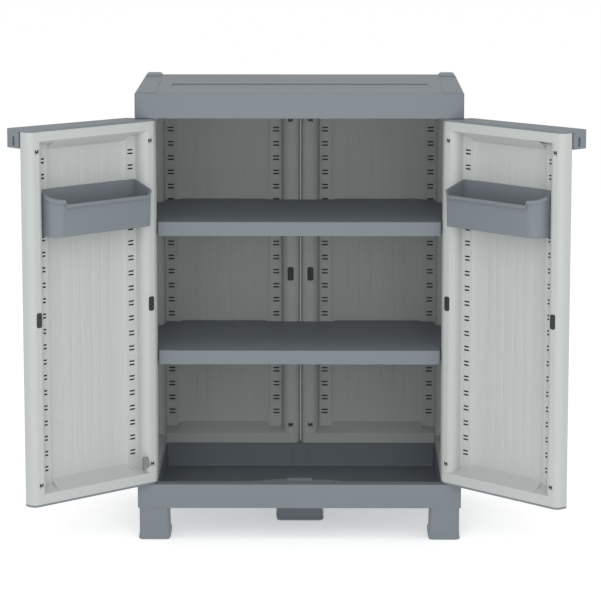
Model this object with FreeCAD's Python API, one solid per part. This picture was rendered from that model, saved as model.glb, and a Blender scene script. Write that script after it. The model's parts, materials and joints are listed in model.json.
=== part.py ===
import FreeCAD, Part
import math
import os

V = FreeCAD.Vector

# Garden storage cabinet with two hinged doors, standing on five feet.
# X runs across the cabinet, Y runs from the doors to the back and Z is up.
# The origin is on the floor under the middle of the cabinet. Millimetres and degrees.

# Panels: the doors, the back and the sides share one moulded section
panel_width = 341.0
panel_height = 769.0
panel_thickness = 33.0
panel_outer_radius = 4.0
door_outer_radius = 8.0
panel_inner_radius = 14.0
frame_band = 39.0
recess_depth = 27.0
recess_low = 21.0
recess_high = 19.0
recess_slope = 11.0
recess_side_draft = 1.0
recess_side_radius = 18.0
recess_side_relief = 0.2
field_step = 3.5
field_end_slope = 24.0
field_side_slope = 12.0
outside_field_depth = 1.0
board_count = 8
board_groove_width = 2.4
board_groove_depth = 0.8

# Slots for hooks, in pairs down each side of a panel
column_inset = 53.0
strip_width = 28.0
row_count = 21
row_pitch = 32.0
first_row_height = 66.2
slot_width = 14.0
slot_height = 3.7
slot_pair_gap = 7.5
slot_depth = 4.0
hook_side_clearance = 0.3
hook_end_clearance = 0.5

# Base tray and feet
foot_height = 69.0
base_height = 51.5
base_overhang = 2.0
base_wall = 4.0
base_corner_radius = 6.0
base_chamfer = 4.0
tray_wall = 3.0
tray_floor = 3.0
seat_rise = 4.5
seat_edge = 3.0
lip_depth = 27.0
lip_bulge = 21.0
lip_bulge_half_top = 52.0
lip_bulge_half_foot = 102.0
stop_half_width = 26.5
stop_depth = 9.5
stop_height = 4.5
stop_clearance = 1.5
rear_rib_spacing = 32.0
rear_rib_width = 7.0
rear_rib_depth = 2.0
rear_rib_height = 38.0

foot_top_width = 63.0
foot_bottom_width = 71.0
foot_corner_radius = 7.0
foot_sole_radius = 3.0
foot_inset = 2.0
spigot_width = 26.0
spigot_height = 20.0
centre_foot_width = 104.0
centre_foot_depth = 95.0
centre_foot_taper = 3.0

# Lid
lid_height = 52.5
lid_overhang = 1.0
lid_wall = 4.5
lid_corner_radius = 3.0
lid_edge_radius = 2.0
pad_inner_inset = 42.0
pad_outer_inset = 4.0
pad_front_inset = 2.0
pad_rise = 1.2
pad_corner_radius = 7.0
cap_depth = 78.0
cap_rise = 5.5
cap_edge_radius = 3.5
top_recess_half_length = 273.0
top_recess_rear = 211.0
top_recess_front = 135.0
top_recess_depth = 2.5
guide_rib = 3.0
guide_clearance = 0.3
guide_drop = 9.0
seat_rib_count = 4
wall_entry = 10.8

# Doors
door_setback = 3.0
door_centre_gap = 2.0
door_gap_bottom = 1.0
door_gap_top = 1.2
strip_thickness = 4.5
rail_thickness = 5.0
left_open = 136.2
right_open = 133.2
pivot_inset = 18.5
pivot_from_front = 12.5
pin_radius = 6.0
pin_clearance = 0.06
pin_engagement = 14.0
pin_in_door = 25.0
pin_hole_clearance = 0.05
boss_wall = 6.0
grip_hinge_width = 20.0
grip_free_width = 37.0
grip_start = 12.0
grip_ramp = 9.0
ear_thickness = 5.0
ear_drop = 34.0
ear_slot_width = 7.0
ear_slot_height = 19.0
ear_slot_out = 19.5
ear_slot_above_foot = 5.0
ear_flange_width = 20.0
ear_flange_thickness = 4.0
ear_gap = 0.3

# Body of the cabinet
door_to_side_gap = 3.0
side_width = 355.5
side_inset = 7.4
side_inner_radius = 3.0
back_centre_gap = 3.0
rear_overhang = 2.5

# Shelves
shelf_thickness = 30.0
shelf_wall = 3.0
shelf_cells_across = 10
shelf_cells_deep = 4
shelf_front_gap = 2.0
shelf_side_clearance = 2.1
shelf_rear_clearance = 1.0
shelf_tongue_half = 129.0
shelf_tongue_clearance = 2.0
shelf_rear_tongue = 14.0
shelf_rear_tongue_clearance = 7.0
shelf_corner_radius = 4.0
upper_clip_row = 6
upper_clip_rise = 8.3
lower_clip_row = 15
lower_clip_rise = 21.0
clip_width = 26.0
clip_reach = 20.0
clip_below_row = 10.0
clip_seat_clearance = 0.3

# Door bins
bin_side_clearance = 1.5
bin_hinge_clearance = 3.5
bin_back_clearance = 0.3
bin_depth = 57.0
bin_wall = 2.5
bin_floor = 3.0
bin_free_radius = 30.0
bin_hinge_radius = 10.0
bin_top_rise = 5.8
bin_side_drop = 17.0
bin_notch_drop = 9.0
bin_notch_inset = 18.0
bin_notch_ramp = 7.0
bin_rim_out = 4.0
bin_rim_hinge_out = 1.0
bin_rim_height = 3.5
bin_hook_row = 2
bin_shelf_gap = 1.5

# Small fittings set in the frames of the panels
clip_square_width = 10.5
clip_square_height = 9.0
clip_square_depth = 6.0
clip_square_from_column = 32.5
clip_square_from_end = 40.0
clip_square_fit = 0.15
plug_width = 14.0
plug_height = 31.0
plug_depth = 6.0
plug_proud = 1.0
plug_fit = 0.15
corner_clip_length = 14.0
catch_width = 17.0
catch_height = 34.0
catch_thickness = 2.0
catch_seat = 5.0
catch_from_hinge = 29.0
catch_from_bottom = 24.0
catch_cut = 6.0

# Levels
base_bottom = foot_height
base_top = base_bottom + base_height
wall_bottom = base_top + seat_rise
door_bottom = base_top + door_gap_bottom
panel_bottom = door_bottom + strip_thickness
panel_top = panel_bottom + panel_height
rail_top = panel_top + rail_thickness
lid_bottom = rail_top + door_gap_top
lid_top = lid_bottom + lid_height
wall_top = lid_bottom + wall_entry
tray_level = base_bottom + tray_floor

# Plan
cabinet_depth = (door_setback + 2.0 * panel_thickness + door_to_side_gap
                 + side_width + rear_overhang)
front_y = -cabinet_depth / 2.0
rear_y = cabinet_depth / 2.0
door_y = front_y + door_setback
side_front_y = door_y + panel_thickness + door_to_side_gap
back_face_y = side_front_y + side_width
back_outer_y = back_face_y + panel_thickness
door_free_x = door_centre_gap / 2.0
hinge_edge_x = door_free_x + panel_width
pivot_x = hinge_edge_x - pivot_inset
pivot_y = door_y + pivot_from_front
side_outer_x = hinge_edge_x - side_inset
side_inner_x = side_outer_x - panel_thickness
lid_half = hinge_edge_x + lid_overhang
base_half = hinge_edge_x + base_overhang


def row_z(row):
    """Height of a pair of slots, counted from the top row down."""
    lowest = panel_bottom + first_row_height
    return lowest + (row_count - 1 - row) * row_pitch


def box(x0, x1, y0, y1, z0, z1):
    """Box between two corners."""
    return Part.makeBox(x1 - x0, y1 - y0, z1 - z0, V(x0, y0, z0))


def rounded_wire(corners, z):
    """Closed flat wire through corners (x, y, radius), with each corner rounded."""
    count = len(corners)
    entries = []
    for i in range(count):
        px, py, _ = corners[i - 1]
        cx, cy, radius = corners[i]
        nx, ny, _ = corners[(i + 1) % count]
        corner = V(cx, cy, z)
        if radius <= 0.0:
            entries.append((corner, None, corner))
            continue
        back = (V(px, py, z) - corner).normalize()
        ahead = (V(nx, ny, z) - corner).normalize()
        half = back.getAngle(ahead) / 2.0
        tangent = radius / math.tan(half)
        middle = (back + ahead).normalize()
        centre = corner + middle * (radius / math.sin(half))
        entries.append((corner + back * tangent, centre - middle * radius, corner + ahead * tangent))
    edges = []
    for i in range(count):
        start, mid, end = entries[i]
        following = entries[(i + 1) % count][0]
        if mid is not None:
            edges.append(Part.Arc(start, mid, end).toShape())
        if (following - end).Length > 1e-6:
            edges.append(Part.LineSegment(end, following).toShape())
    return Part.Wire(edges)


def rounded_prism(corners, z0, z1):
    """Upright solid on a plan with rounded corners."""
    return Part.Face(rounded_wire(corners, z0)).extrude(V(0, 0, z1 - z0))


def rounded_box(x0, x1, y0, y1, z0, z1, radius):
    """Upright box whose four vertical edges share one radius."""
    corners = [(x0, y0, radius), (x1, y0, radius), (x1, y1, radius), (x0, y1, radius)]
    return rounded_prism(corners, z0, z1)


def wall_window(x0, x1, y0, y1, z0, z1, radius):
    """Box along Y whose four edges in that direction are rounded, for cutting a recess."""
    flat = rounded_box(x0, x1, z0, z1, 0.0, y1 - y0, radius)
    flat.rotate(V(0, 0, 0), V(1, 0, 0), 90)
    flat.translate(V(0, y1, 0))
    return flat


def mirrored(shape):
    """The same piece for the other side of the cabinet."""
    return shape.mirror(V(0, 0, 0), V(1, 0, 0))


def moved(shape, x, y, z):
    """A copy of the shape, shifted."""
    copy = shape.copy()
    copy.translate(V(x, y, z))
    return copy


def turned(shape, x, y, angle):
    """A copy of the shape, turned about an upright line."""
    copy = shape.copy()
    copy.rotate(V(x, y, 0), V(0, 0, 1), angle)
    return copy


# Panels, made with the outside at y = 0 and the hinge or first edge at x = 0

def slot_cutters(column_x, floor_y):
    """All the slot pairs of one column."""
    cutters = []
    for row in range(row_count):
        for side in (-1.0, 1.0):
            z = row_z(row) + side * slot_pair_gap / 2.0
            cutters.append(box(column_x - slot_width / 2.0, column_x + slot_width / 2.0,
                               floor_y - slot_depth, floor_y + 1.0,
                               z - slot_height / 2.0, z + slot_height / 2.0))
    return cutters


def groove_cutters(x0, x1, y0, y1, z0, z1):
    """Upright grooves that divide a field into boards."""
    cutters = []
    pitch = (x1 - x0) / board_count
    for i in range(1, board_count):
        x = x0 + i * pitch
        cutters.append(box(x - board_groove_width / 2.0, x + board_groove_width / 2.0, y0, y1, z0, z1))
    return cutters


def recess_column_xs(width):
    """The two columns of slots of a panel."""
    return (column_inset, width - column_inset)


def prism_along_x(corners, x0, x1):
    """Solid along X whose section is given by corners (y, z)."""
    wire = Part.makePolygon([V(x0, y, z) for y, z in corners + corners[:1]])
    return Part.Face(wire).extrude(V(x1 - x0, 0, 0))


def recess_cutter(width, low, high):
    """Room of the recess: its upright rims are well rounded, and its two ends slope."""
    floor_y = panel_thickness - recess_depth
    field_y = floor_y - field_step
    mouth = panel_thickness + recess_side_relief
    above = panel_thickness + 5.0
    x0 = frame_band
    x1 = width - frame_band
    d = recess_side_draft
    reach = recess_side_radius + 1.0
    corners = [(x0 - reach, above, 0.0), (x0 - reach, mouth, 0.0), (x0, mouth, recess_side_radius),
               (x0 + d, floor_y, 0.0), (x1 - d, floor_y, 0.0), (x1, mouth, recess_side_radius),
               (x1 + reach, mouth, 0.0), (x1 + reach, above, 0.0)]
    room = rounded_prism(corners, low - recess_slope, high + recess_slope)
    tilt = recess_slope / recess_depth
    rise = (above - floor_y) * tilt
    ends = prism_along_x([(floor_y, low + recess_slope), (above, low + recess_slope - rise),
                          (above, high - recess_slope + rise), (floor_y, high - recess_slope)], 0.0, width)
    room = room.common(ends)
    field_x = column_inset + strip_width / 2.0
    lower_end = prism_along_x([(panel_thickness, low), (field_y, low + field_end_slope),
                               (field_y, low)], field_x, width - field_x)
    upper_end = prism_along_x([(panel_thickness, high), (field_y, high - field_end_slope),
                               (field_y, high)], field_x, width - field_x)
    return room.cut(Part.makeCompound([lower_end, upper_end]))


def panel(width, bottom, top, outer_radius, inner_radius):
    """Moulded panel with a frame, a recess with slots, and a field of upright boards."""
    floor_y = panel_thickness - recess_depth
    corners = [(0.0, 0.0, outer_radius), (width, 0.0, outer_radius),
               (width, panel_thickness, inner_radius), (0.0, panel_thickness, inner_radius)]
    body = rounded_prism(corners, bottom, top)
    low = panel_bottom + recess_low
    high = panel_top - recess_high
    body = body.cut(recess_cutter(width, low, high))
    x0 = column_inset + strip_width / 2.0
    x1 = width - x0
    step_rise = field_end_slope * field_step / (recess_depth + field_step)
    z0 = low + field_end_slope - step_rise
    z1 = high - field_end_slope + step_rise
    cutters = [Part.makeWedge(x0 + field_side_slope, floor_y - field_step, z0 + step_rise, z0, x0,
                              x1 - field_side_slope, floor_y, z1 - step_rise, z1, x1)]
    for column_x in recess_column_xs(width):
        cutters += slot_cutters(column_x, floor_y)
    cutters.append(box(frame_band, width - frame_band, -1.0, outside_field_depth, low, high))
    body = body.cut(Part.makeCompound(cutters))
    grooves = groove_cutters(frame_band, width - frame_band, 0.0,
                             outside_field_depth + board_groove_depth, low, high)
    return body.cut(Part.makeCompound(grooves))


def square_pocket_spots(width, columns):
    """Places of the square clips: x beside the slot columns, and the two heights."""
    low = panel_bottom + clip_square_from_end
    high = panel_top - clip_square_from_end
    left, right = recess_column_xs(width)
    spots = []
    for x in columns:
        centre = left - clip_square_from_column if x < 0 else right + clip_square_from_column
        spots.append((centre, low))
        spots.append((centre, high))
    return spots


def square_pocket(x, z, depth):
    """Pocket for a square clip in the inner face of a panel."""
    return box(x - clip_square_width / 2.0, x + clip_square_width / 2.0,
               panel_thickness - depth, panel_thickness + 1.0,
               z - clip_square_height / 2.0, z + clip_square_height / 2.0)


def square_clip(x, z):
    """Square snap clip: a frame with a sloped tongue, seated in its pocket."""
    half_w = clip_square_width / 2.0 - clip_square_fit
    half_h = clip_square_height / 2.0 - clip_square_fit
    floor_y = panel_thickness - clip_square_depth
    clip = box(x - half_w, x + half_w, floor_y, panel_thickness - 1.2, z - half_h, z + half_h)
    hollow = box(x - half_w + 2.0, x + half_w - 2.0, floor_y + 2.0, panel_thickness, z - half_h + 3.5, z + half_h)
    return clip.cut(hollow)


def plug_pocket(x):
    """Pocket for an oval plug at mid height."""
    z = (panel_bottom + panel_top) / 2.0
    radius = plug_width / 2.0
    return wall_window(x - radius, x + radius, panel_thickness - plug_depth, panel_thickness + 1.0,
                       z - plug_height / 2.0, z + plug_height / 2.0, radius - 0.01)


def oval_plug(x):
    """Oval plug that closes the hole in the frame at mid height."""
    z = (panel_bottom + panel_top) / 2.0
    radius = plug_width / 2.0 - plug_fit
    half = plug_height / 2.0 - plug_fit
    plug = wall_window(x - radius, x + radius, panel_thickness - plug_depth,
                       panel_thickness + plug_proud, z - half, z + half, radius - 0.01)
    rim = [edge for edge in plug.Edges
           if abs(edge.BoundBox.YMin - panel_thickness - plug_proud) < 1e-4
           and abs(edge.BoundBox.YMax - panel_thickness - plug_proud) < 1e-4]
    return plug.makeFillet(plug_proud * 0.8, rim)


# Doors, made closed for the left side and then turned to the open position

def door_outline(grow):
    """Plan of a closed left door with its rounded ends."""
    x0 = -grow
    x1 = panel_width + grow
    return [(x0, -grow, door_outer_radius), (x1, -grow, door_outer_radius),
            (x1, panel_thickness + grow, panel_inner_radius),
            (x0, panel_thickness + grow, panel_inner_radius)]


def pin_hole(z0, z1):
    """Hole in the door for its pin."""
    return Part.makeCylinder(pin_radius + pin_hole_clearance, z1 - z0,
                             V(pivot_inset, pivot_from_front, z0))


def door_panel():
    """Door panel with pockets for the clips, plugs and pins."""
    body = panel(panel_width, panel_bottom, panel_top, door_outer_radius, panel_inner_radius)
    cutters = [square_pocket(x, z, clip_square_depth) for x, z in square_pocket_spots(panel_width, (-1, 1))]
    left, right = recess_column_xs(panel_width)
    cutters.append(plug_pocket(left - clip_square_from_column))
    cutters.append(plug_pocket(right + clip_square_from_column))
    cutters.append(pin_hole(panel_bottom - 1.0, panel_bottom + pin_in_door))
    cutters.append(pin_hole(panel_top - pin_in_door, panel_top + 1.0))
    return body.cut(Part.makeCompound(cutters))


def door_top_rail():
    """Top rail with the tapering grip in front and the padlock ear at the free end."""
    cover = rounded_prism(door_outline(0.0), panel_top, rail_top)
    free = panel_width
    grip = rounded_prism([(pivot_inset + grip_start, 1.0, 0.0),
                          (free, 1.0, 0.0),
                          (free, -grip_free_width, 2.0),
                          (pivot_inset + grip_start + grip_ramp, -grip_hinge_width, 4.0)],
                         panel_top, rail_top)
    rail = cover.fuse(grip)
    ear_foot = panel_top - ear_drop
    ear = box(free - ear_thickness, free, -grip_free_width, -ear_gap, ear_foot, panel_top + 1.0)
    flange = box(free - ear_flange_width, free, -ear_gap - ear_flange_thickness, -ear_gap,
                 ear_foot, panel_top + 1.0)
    slot_z0 = ear_foot + ear_slot_above_foot
    slot = rounded_box(-ear_slot_out - ear_slot_width / 2.0, -ear_slot_out + ear_slot_width / 2.0,
                       slot_z0, slot_z0 + ear_slot_height, 0.0, ear_thickness + 2.0,
                       ear_slot_width / 2.0 - 0.01)
    slot.rotate(V(0, 0, 0), V(1, 0, 0), 90)
    slot.rotate(V(0, 0, 0), V(0, 0, 1), 90)
    slot.translate(V(free - ear_thickness - 1.0, 0, 0))
    rail = rail.fuse([ear, flange]).cut(slot).removeSplitter()
    return rail.cut(pin_hole(panel_top - 1.0, rail_top + 1.0))


def door_bottom_strip():
    """Strip that closes the lower edge of the door."""
    strip = rounded_prism(door_outline(0.0), door_bottom, panel_bottom)
    return strip.cut(pin_hole(door_bottom - 1.0, panel_bottom + 1.0))


def door_pins():
    """The two pins on which the door turns."""
    x = pivot_inset
    y = pivot_from_front
    upper = Part.makeCylinder(pin_radius, pin_in_door + rail_thickness + door_gap_top + pin_engagement,
                              V(x, y, panel_top - pin_in_door))
    lower_start = base_top - pin_engagement
    lower = Part.makeCylinder(pin_radius, panel_bottom + pin_in_door - lower_start, V(x, y, lower_start))
    return Part.makeCompound([upper, lower])


def door_clips():
    """The four square clips of a door."""
    return Part.makeCompound([square_clip(x, z) for x, z in square_pocket_spots(panel_width, (-1, 1))])


def door_plugs():
    """The two oval plugs of a door."""
    left, right = recess_column_xs(panel_width)
    return Part.makeCompound([oval_plug(left - clip_square_from_column),
                              oval_plug(right + clip_square_from_column)])


def door_catch(door_body):
    """Small grey catch plate, low on the hinge side, seated on the rounded rim of the frame."""
    x0 = catch_from_hinge
    x1 = x0 + catch_width
    z0 = panel_bottom + catch_from_bottom
    z1 = z0 + catch_height
    y = panel_thickness - catch_seat
    face = Part.makePolygon([V(x1, y, z0), V(x1, y, z1), V(x0, y, z1),
                             V(x0, y, z0 + catch_cut), V(x0 + catch_cut, y, z0), V(x1, y, z0)])
    plate = Part.Face(face).extrude(V(0, catch_seat + catch_thickness, 0))
    return plate.cut(door_body)


def bin_plan(grow, grow_hinge, y_back):
    """Plan of a door bin: square at the back, rounded at the front."""
    x0 = frame_band + bin_hinge_clearance - grow_hinge
    x1 = panel_width - frame_band - bin_side_clearance + grow
    y_front = panel_thickness - recess_depth + bin_depth + grow
    return [(x0, y_back, 0.0), (x1, y_back, 0.0),
            (x1, y_front, bin_free_radius + grow), (x0, y_front, bin_hinge_radius + grow)]


def above_bin_rim(drop):
    """Everything above the rim of a bin: sloping sides and a lowered front, shifted down by drop."""
    floor_y = panel_thickness - recess_depth
    top = row_z(bin_hook_row) + bin_top_rise - drop
    high = top + 40.0
    x0 = frame_band - 10.0
    x1 = panel_width - frame_band + 10.0
    y0 = floor_y + bin_back_clearance + bin_wall
    y1 = floor_y + bin_depth + bin_rim_out
    slope = Part.Face(Part.makePolygon([V(x0, y0, top), V(x0, y1 + 1.0, top - bin_side_drop),
                                        V(x0, y1 + 1.0, high), V(x0, y0, high), V(x0, y0, top)]))
    slope = slope.extrude(V(x1 - x0, 0, 0))
    low = top - bin_side_drop - bin_notch_drop
    n0 = frame_band + bin_side_clearance + bin_notch_inset
    n1 = panel_width - frame_band - bin_side_clearance - bin_notch_inset - bin_free_radius / 2.0
    rise = (high - low) / bin_notch_drop * bin_notch_ramp
    y_in = floor_y + bin_depth - bin_wall - 8.0
    notch = Part.Face(Part.makePolygon([V(n0, y_in, low), V(n1, y_in, low), V(n1 + rise, y_in, high),
                                        V(n0 - rise, y_in, high), V(n0, y_in, low)]))
    return slope.fuse(notch.extrude(V(0, 30.0, 0)))


def door_bin():
    """Open bin with a rolled rim, a lowered front and hooks for the slots."""
    floor_y = panel_thickness - recess_depth
    y_back = floor_y + bin_back_clearance
    top = row_z(bin_hook_row) + bin_top_rise
    core = rounded_prism(bin_plan(0.0, 0.0, y_back), bin_bottom, top).cut(above_bin_rim(0.0))
    rim_foot = top - bin_side_drop - bin_notch_drop - bin_rim_height - 2.0
    rim_plan = bin_plan(bin_rim_out, bin_rim_hinge_out, panel_thickness + bin_shelf_gap)
    rim = rounded_prism(rim_plan, rim_foot, top).cut(above_bin_rim(0.0))
    rim = rim.common(above_bin_rim(bin_rim_height))
    wall = -bin_wall
    inner = rounded_prism(bin_plan(wall, wall, y_back + bin_wall), bin_bottom + bin_floor, top + 1.0)
    shell = core.fuse(rim).cut(inner)
    half = slot_width / 2.0 - hook_side_clearance
    reach = slot_depth - hook_end_clearance
    for column_x in recess_column_xs(panel_width):
        for side in (-1.0, 1.0):
            z = row_z(bin_hook_row) + side * slot_pair_gap / 2.0
            shell = shell.fuse(box(column_x - half, column_x + half, floor_y - reach, y_back + 1.0,
                                   z - slot_height / 2.0 + hook_side_clearance,
                                   z + slot_height / 2.0 - hook_side_clearance))
    return shell.removeSplitter()


def to_left_door(shape):
    """From the door's own place to its open place on the left."""
    closed = moved(shape, -hinge_edge_x, door_y, 0.0)
    return turned(closed, -pivot_x, pivot_y, -left_open)


def to_right_door(shape):
    """From the door's own place to its open place on the right."""
    closed = mirrored(moved(shape, -hinge_edge_x, door_y, 0.0))
    return turned(closed, pivot_x, pivot_y, right_open)


# Fixed walls

def wall_spots():
    """Heights of the clips that hold a side to the back."""
    return (panel_bottom + clip_square_from_end, panel_top - clip_square_from_end)


def corner_clip_centre():
    """Place across the cabinet of the clips between a side and the back."""
    return (side_inner_x + side_outer_x) / 2.0


def corner_clip_pocket(z, grow, y0, y1):
    """Block shared by the corner clips and the pockets that hold them."""
    x = corner_clip_centre()
    half_w = clip_square_width / 2.0 + grow
    half_h = clip_square_height / 2.0 + grow
    return box(x - half_w, x + half_w, y0, y1, z - half_h, z + half_h)


def back_panel():
    """Right back panel, its slotted side towards the room inside the cabinet."""
    body = panel(panel_width, wall_bottom, wall_top, panel_outer_radius, panel_inner_radius)
    spots = square_pocket_spots(panel_width, (-1,))
    cutters = [square_pocket(x, z, clip_square_depth) for x, z in spots]
    cutters.append(plug_pocket(recess_column_xs(panel_width)[0] - clip_square_from_column))
    body = body.cut(Part.makeCompound(cutters))
    placed = to_back(body)
    half = corner_clip_length / 2.0
    cutters = [corner_clip_pocket(z, 0.0, back_face_y - 1.0, back_face_y + half) for z in wall_spots()]
    skirt_x = lid_half - lid_wall - lid_corner_radius
    cutters.append(box(skirt_x, skirt_x + 2.0 * lid_wall, back_face_y - 1.0, rear_y,
                       lid_bottom - guide_clearance, wall_top + 1.0))
    return placed.cut(Part.makeCompound(cutters))


def to_back(shape):
    """From a panel's own place to the right half of the back, outside to the rear."""
    placed = shape.copy()
    placed = placed.mirror(V(0, 0, 0), V(0, 1, 0))
    placed.translate(V(back_centre_gap / 2.0, back_outer_y, 0.0))
    return placed


def side_panel():
    """Right side panel, standing on the base between the doors and the back."""
    body = panel(side_width, wall_bottom, wall_top, panel_outer_radius, side_inner_radius)
    body.rotate(V(0, 0, 0), V(0, 0, 1), 90)
    body.translate(V(side_outer_x, side_front_y, 0.0))
    half = corner_clip_length / 2.0
    pockets = [corner_clip_pocket(z, 0.0, back_face_y - half, back_face_y + 1.0) for z in wall_spots()]
    return body.cut(Part.makeCompound(pockets))


def corner_clips():
    """The four clips that hold the sides to the back."""
    half = corner_clip_length / 2.0 - clip_square_fit
    clips = []
    for z in wall_spots():
        clip = corner_clip_pocket(z, -clip_square_fit, back_face_y - half, back_face_y + half)
        clips.append(clip)
        clips.append(mirrored(clip))
    return Part.makeCompound(clips)


def back_clips():
    """The four square clips beside the middle of the back."""
    clips = []
    for x, z in square_pocket_spots(panel_width, (-1,)):
        clip = to_back(square_clip(x, z))
        clips.append(clip)
        clips.append(mirrored(clip))
    return Part.makeCompound(clips)


def back_plugs():
    """The two oval plugs beside the middle of the back."""
    plug = to_back(oval_plug(recess_column_xs(panel_width)[0] - clip_square_from_column))
    return Part.makeCompound([plug, mirrored(plug)])


# Base, feet and lid

def tray_outline(grow):
    """Plan of the hollow of the tray, with the front lip deeper in the middle."""
    lip_y = front_y + lip_depth - grow
    bulge_y = lip_y + lip_bulge
    side = side_inner_x + grow
    back = back_face_y + grow
    top = lip_bulge_half_top - grow
    foot = lip_bulge_half_foot - grow
    return [(side, lip_y, 2.0), (side, back, 2.0), (-side, back, 2.0), (-side, lip_y, 2.0),
            (-foot, lip_y, 0.0), (-top, bulge_y, 0.0), (top, bulge_y, 0.0), (foot, lip_y, 0.0)]


def base_tray():
    """Base with a hollow skirt, a sunk tray, a door stop and sockets for the pins."""
    half = base_half
    body = rounded_box(-half, half, front_y, rear_y, base_bottom, base_top, base_corner_radius)
    lower = [edge for edge in body.Edges
             if edge.BoundBox.ZMax < base_bottom + 0.01 and edge.BoundBox.YLength > cabinet_depth / 2.0]
    body = body.makeChamfer(base_chamfer, lower)
    seat_outer = side_outer_x + seat_edge
    seat_rear = back_outer_y + rear_overhang - 1.0
    seat = box(-seat_outer, seat_outer, side_front_y, seat_rear, base_top - 1.0, wall_bottom)
    back_seat = box(-half + base_wall, half - base_wall, back_face_y, seat_rear, base_top - 1.0, wall_bottom)
    body = body.fuse(seat).fuse(back_seat)
    body = body.cut(rounded_prism(tray_outline(0.0), tray_level, wall_bottom + 1.0))
    inside = rounded_box(-half + base_wall, half - base_wall, front_y + base_wall, rear_y - base_wall,
                         base_bottom - 1.0, base_top - base_wall, base_corner_radius - 2.0)
    kept = rounded_prism(tray_outline(tray_wall), base_bottom - 2.0, base_top)
    body = body.cut(inside.cut(kept))
    stop_y = door_y + panel_thickness + stop_clearance
    stop = box(-stop_half_width, stop_half_width, stop_y, stop_y + stop_depth, base_top - 1.0, base_top + stop_height)
    body = body.fuse(stop)
    for side in (-1.0, 1.0):
        rib_x = side * rear_rib_spacing / 2.0
        body = body.fuse(box(rib_x - rear_rib_width / 2.0, rib_x + rear_rib_width / 2.0,
                             back_face_y - rear_rib_depth, back_face_y + 1.0,
                             tray_level - 1.0, tray_level + rear_rib_height))
        x = side * pivot_x
        boss = Part.makeCylinder(pin_radius + boss_wall, pin_engagement + boss_wall,
                                 V(x, pivot_y, base_top - pin_engagement - boss_wall))
        body = body.fuse(boss)
    for side in (-1.0, 1.0):
        bore = Part.makeCylinder(pin_radius + pin_clearance, pin_engagement + 2.0,
                                 V(side * pivot_x, pivot_y, base_top - pin_engagement - 0.5))
        body = body.cut(bore)
    return body.removeSplitter()


def foot_loft(x0, x1, y0, y1, spread_left, spread_right, spread_front, spread_rear):
    """Foot that widens towards the floor, with a rounded sole."""
    top = rounded_wire([(x0, y0, foot_corner_radius), (x1, y0, foot_corner_radius),
                        (x1, y1, foot_corner_radius), (x0, y1, foot_corner_radius)], foot_height)
    low = rounded_wire([(x0 - spread_left, y0 - spread_front, foot_corner_radius),
                        (x1 + spread_right, y0 - spread_front, foot_corner_radius),
                        (x1 + spread_right, y1 + spread_rear, foot_corner_radius),
                        (x0 - spread_left, y1 + spread_rear, foot_corner_radius)], 0.0)
    foot = Part.makeLoft([low, top], True, True)
    sole = [edge for edge in foot.Edges if edge.BoundBox.ZMax < 0.01]
    return foot.makeFillet(foot_sole_radius, sole)


def corner_foot():
    """Front right foot with the spigot that enters the skirt of the base."""
    spread = (foot_bottom_width - foot_top_width) / 2.0
    x1 = base_half - foot_inset - base_chamfer / 2.0
    x0 = x1 - foot_top_width
    y0 = front_y + foot_inset
    y1 = y0 + foot_top_width
    foot = foot_loft(x0, x1, y0, y1, spread, spread / 2.0, spread / 4.0, spread)
    spigot_x1 = base_half - base_wall - 2.0
    spigot_y0 = front_y + base_wall + 2.0
    spigot = box(spigot_x1 - spigot_width, spigot_x1, spigot_y0, spigot_y0 + spigot_width,
                 foot_height - 1.0, foot_height + spigot_height)
    return foot.fuse(spigot).removeSplitter()


def centre_foot():
    """Foot under the middle of the tray."""
    half_w = centre_foot_width / 2.0 - centre_foot_taper
    half_d = centre_foot_depth / 2.0 - centre_foot_taper
    return foot_loft(-half_w, half_w, -half_d, half_d, centre_foot_taper, centre_foot_taper,
                     centre_foot_taper, centre_foot_taper)


def lid_pad():
    """Raised pad along the right edge of the lid."""
    x0 = lid_half - pad_inner_inset
    x1 = lid_half - pad_outer_inset
    y0 = front_y + pad_front_inset
    y1 = rear_y - pad_front_inset
    return rounded_prism([(x0, y0, pad_corner_radius), (x1, y0, 2.0), (x1, y1, 2.0), (x0, y1, 2.0)],
                         lid_top - 1.0, lid_top + pad_rise)


def lid_cap():
    """Rounded cap on the rear right corner of the lid."""
    x0 = lid_half - pad_inner_inset
    x1 = lid_half - lid_edge_radius
    y0 = rear_y - cap_depth
    y1 = rear_y - lid_edge_radius
    cap = rounded_box(x0, x1, y0, y1, lid_top - 1.0, lid_top + cap_rise, 5.0)
    rim = [edge for edge in cap.Edges if edge.BoundBox.ZMin > lid_top + cap_rise - 0.01]
    return cap.makeFillet(cap_edge_radius, rim)


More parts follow.
